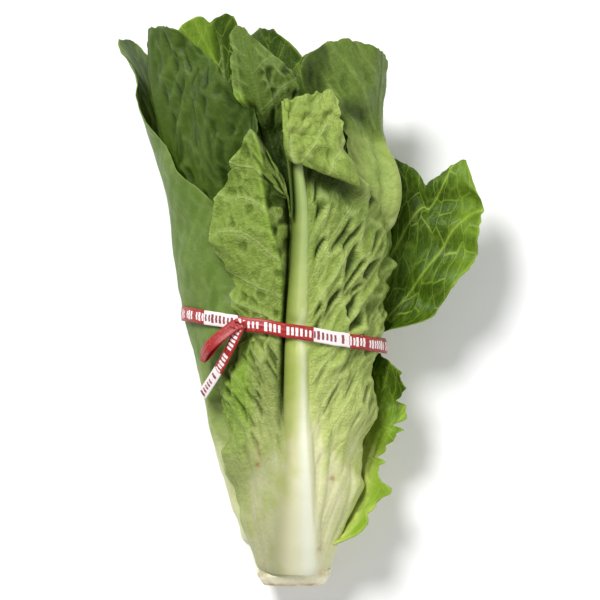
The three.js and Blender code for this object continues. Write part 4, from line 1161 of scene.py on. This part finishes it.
def band_point(angle, d):
    """A point of the tie's band, d millimetres above its middle."""
    y = TIE_Y + TIE_SLOPE * body_radius(angle, TIE_Y) * np.cos(angle) + d
    point = head_point(angle, y, body_radius(angle, y))
    point[..., 2] = np.maximum(point[..., 2], TIE_THICKNESS / 2)
    return point


def reserve_tie(room):
    """Nothing under the tie reaches past its inner face."""
    angle = np.linspace(0, 2 * np.pi, 3 * BAND_STEPS, endpoint=False)
    outwards = stack(np.cos(angle), 0, np.sin(angle))
    for d in np.linspace(-TIE_WIDTH / 2, TIE_WIDTH / 2, 9):
        room.fill(band_point(angle, d) - outwards * TIE_THICKNESS / 2)


def ribbon(centres, across, outwards, width, closed=False, printed=1.0):
    """A paper ribbon with a wire along its middle: points, faces and three print attributes."""
    a = TIE_PROFILE_ACROSS
    wire, curl = bump(a, 0.13) * WIRE, 0.25 * a**4
    top = stack(a * width / 2, PAPER / 2 + wire * 0.7 - curl)
    bottom = stack(a * width / 2, -PAPER / 2 - wire * 0.3 - curl)
    section = np.concatenate([top, bottom[::-1]])
    points = centres[:, None] + across[:, None] * section[:, :1] + outwards[:, None] * section[:, 1:]
    rows, columns = points.shape[:2]
    index = np.arange(rows * columns).reshape(rows, columns)
    ahead, here = np.roll(index, -1, axis=0), index
    if not closed:
        ahead, here = ahead[:-1], here[:-1]
    faces = [stack(here, ahead, np.roll(ahead, -1, axis=1), np.roll(here, -1, axis=1)).reshape(-1, 4)]
    if not closed:
        k = np.arange(len(a) - 1)
        for row, flip in ((index[0], 1), (index[-1], -1)):
            faces.append(stack(row[k], row[k + 1], row[columns - 2 - k], row[columns - 1 - k])[:, ::flip])
    values = (run_along(centres)[:, None], np.concatenate([a, a[::-1]]), printed)
    return points.reshape(-1, 3), np.concatenate(faces), *(
        np.broadcast_to(value, (rows, columns)).flatten() for value in values
    )


def tail(stations, width, steps, printed=0.0):
    """A free end of the tie, smooth through its stations."""
    angle, y, lift, roll = np.array(stations, float).T
    angle = angle * DEG
    knots = head_point(angle, y, body_radius(angle, y) + lift)
    u = np.linspace(0, len(knots) - 1, steps)
    i = np.minimum(u.astype(int), len(knots) - 2)
    extended = np.concatenate([[2 * knots[0] - knots[1]], knots, [2 * knots[-1] - knots[-2]]])
    centres = spline(*(extended[i + k] for k in range(4)), (u - i)[:, None])
    roll = np.interp(u, np.arange(len(knots)), roll)[:, None] * DEG
    along = unit(np.gradient(centres, axis=0))
    flat = unit(np.cross(along, centres - head_point(0, centres[:, 1], 0)))
    across = flat * np.cos(roll) - np.cross(flat, along) * np.sin(roll)
    return ribbon(centres, across, np.cross(across, along), width, printed=printed)


def build_tie():
    angle = np.linspace(0, 2 * np.pi, BAND_STEPS, endpoint=False)
    cos, sin = np.cos(angle), np.sin(angle)
    centres = band_point(angle, 0)
    ahead = unit((np.roll(centres, -1, axis=0) - np.roll(centres, 1, axis=0)) * [1, 0, 1])
    outwards = stack(ahead[:, 2], 0, -ahead[:, 0])
    across = [0, 1.0, 0] + outwards * (0.06 * noise(cos * 5, sin * 5, 82))[:, None]
    centres = centres + stack(0, 0.35 * noise(cos * 9, sin * 9, 81), 0)
    long_end = tail(LONG_END, END_WIDTH, steps=90, printed=1.0)
    long_end[2][:] += WHITE_START - LONG_END_RED * long_end[2].max()
    parts = [
        ribbon(centres, across, outwards, TIE_WIDTH, closed=True), tail(TWIST, TWIST_WIDTH, steps=60),
        long_end, tail(FOLDED_END, END_WIDTH, steps=110),
    ]
    offsets = np.cumsum([0, *(len(part[0]) for part in parts)])
    faces = np.concatenate([part[1] + offset for part, offset in zip(parts, offsets)])
    points, run, across, printed = (np.concatenate([part[k] for part in parts]) for k in (0, 2, 3, 4))
    points[:, 2] = np.maximum(points[:, 2], FLOOR_GAP)
    attributes = dict(run=run, across=across, printed=printed)
    piece = build_mesh("printed_tie", points, faces, attributes, tie_material())
    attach(piece, "root")
    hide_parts("twist_tie")


# ---- stage, lights and camera

MIDDLE = (0, 0.04, 0.05)  # what the lamps are aimed at, in metres


def build_stage():
    bpy.ops.mesh.primitive_plane_add(size=6, location=(0, 0, 0))
    floor = bpy.context.object
    floor.name = "floor"
    n = Nodes("floor_paper")
    grain = n.noise(n.add("TexCoord").outputs["Object"], 60)
    n.fill(n.shader, {
        "Base Color": n.mix(grain, (0.92, 0.92, 0.92, 1), (0.94, 0.94, 0.94, 1)), "Roughness": 0.9,
    })
    floor.data.materials.append(n.material)


def add_light(name, place, size, power):
    """A round lamp that the camera doesn't see."""
    data = bpy.data.lights.new(name, "AREA")
    data.shape, data.size, data.energy = "DISK", size, power
    lamp = bpy.data.objects.new(name, data)
    bpy.context.scene.collection.objects.link(lamp)
    lamp.location = place
    lamp.rotation_euler = (Vector(MIDDLE) - Vector(place)).to_track_quat("-Z", "Y").to_euler()
    lamp.visible_camera = False


def build_lights():
    add_light("key", (-0.65, 1.0, 1.65), 0.7, 42)
    add_light("fill", (1.3, -0.3, 1.3), 1.2, 11)
    world = bpy.data.worlds.new("studio")
    world.use_nodes = True
    background = world.node_tree.nodes["Background"]
    background.inputs["Color"].default_value = (1, 1, 1, 1)
    background.inputs["Strength"].default_value = 0.36
    bpy.context.scene.world = world
    bpy.context.scene.view_settings.view_transform = "Standard"


def build_camera():
    data = bpy.data.cameras.new("camera")
    data.lens, data.sensor_width = 300, 36
    data.clip_end = 20
    camera = bpy.data.objects.new("camera", data)
    bpy.context.scene.collection.objects.link(camera)
    distance = PHOTO_WIDTH * data.lens / data.sensor_width
    camera.location = (VIEW_X * MM, VIEW_Y * MM, (VIEW_Z + distance) * MM)
    bpy.context.scene.camera = camera


# ---- the head

build_camera()
build_stage()
build_lights()
build_stem()
build_tie()
head_room = Room()
reserve_tie(head_room)
for one_leaf in LEAVES:
    lay_leaf(one_leaf, head_room)
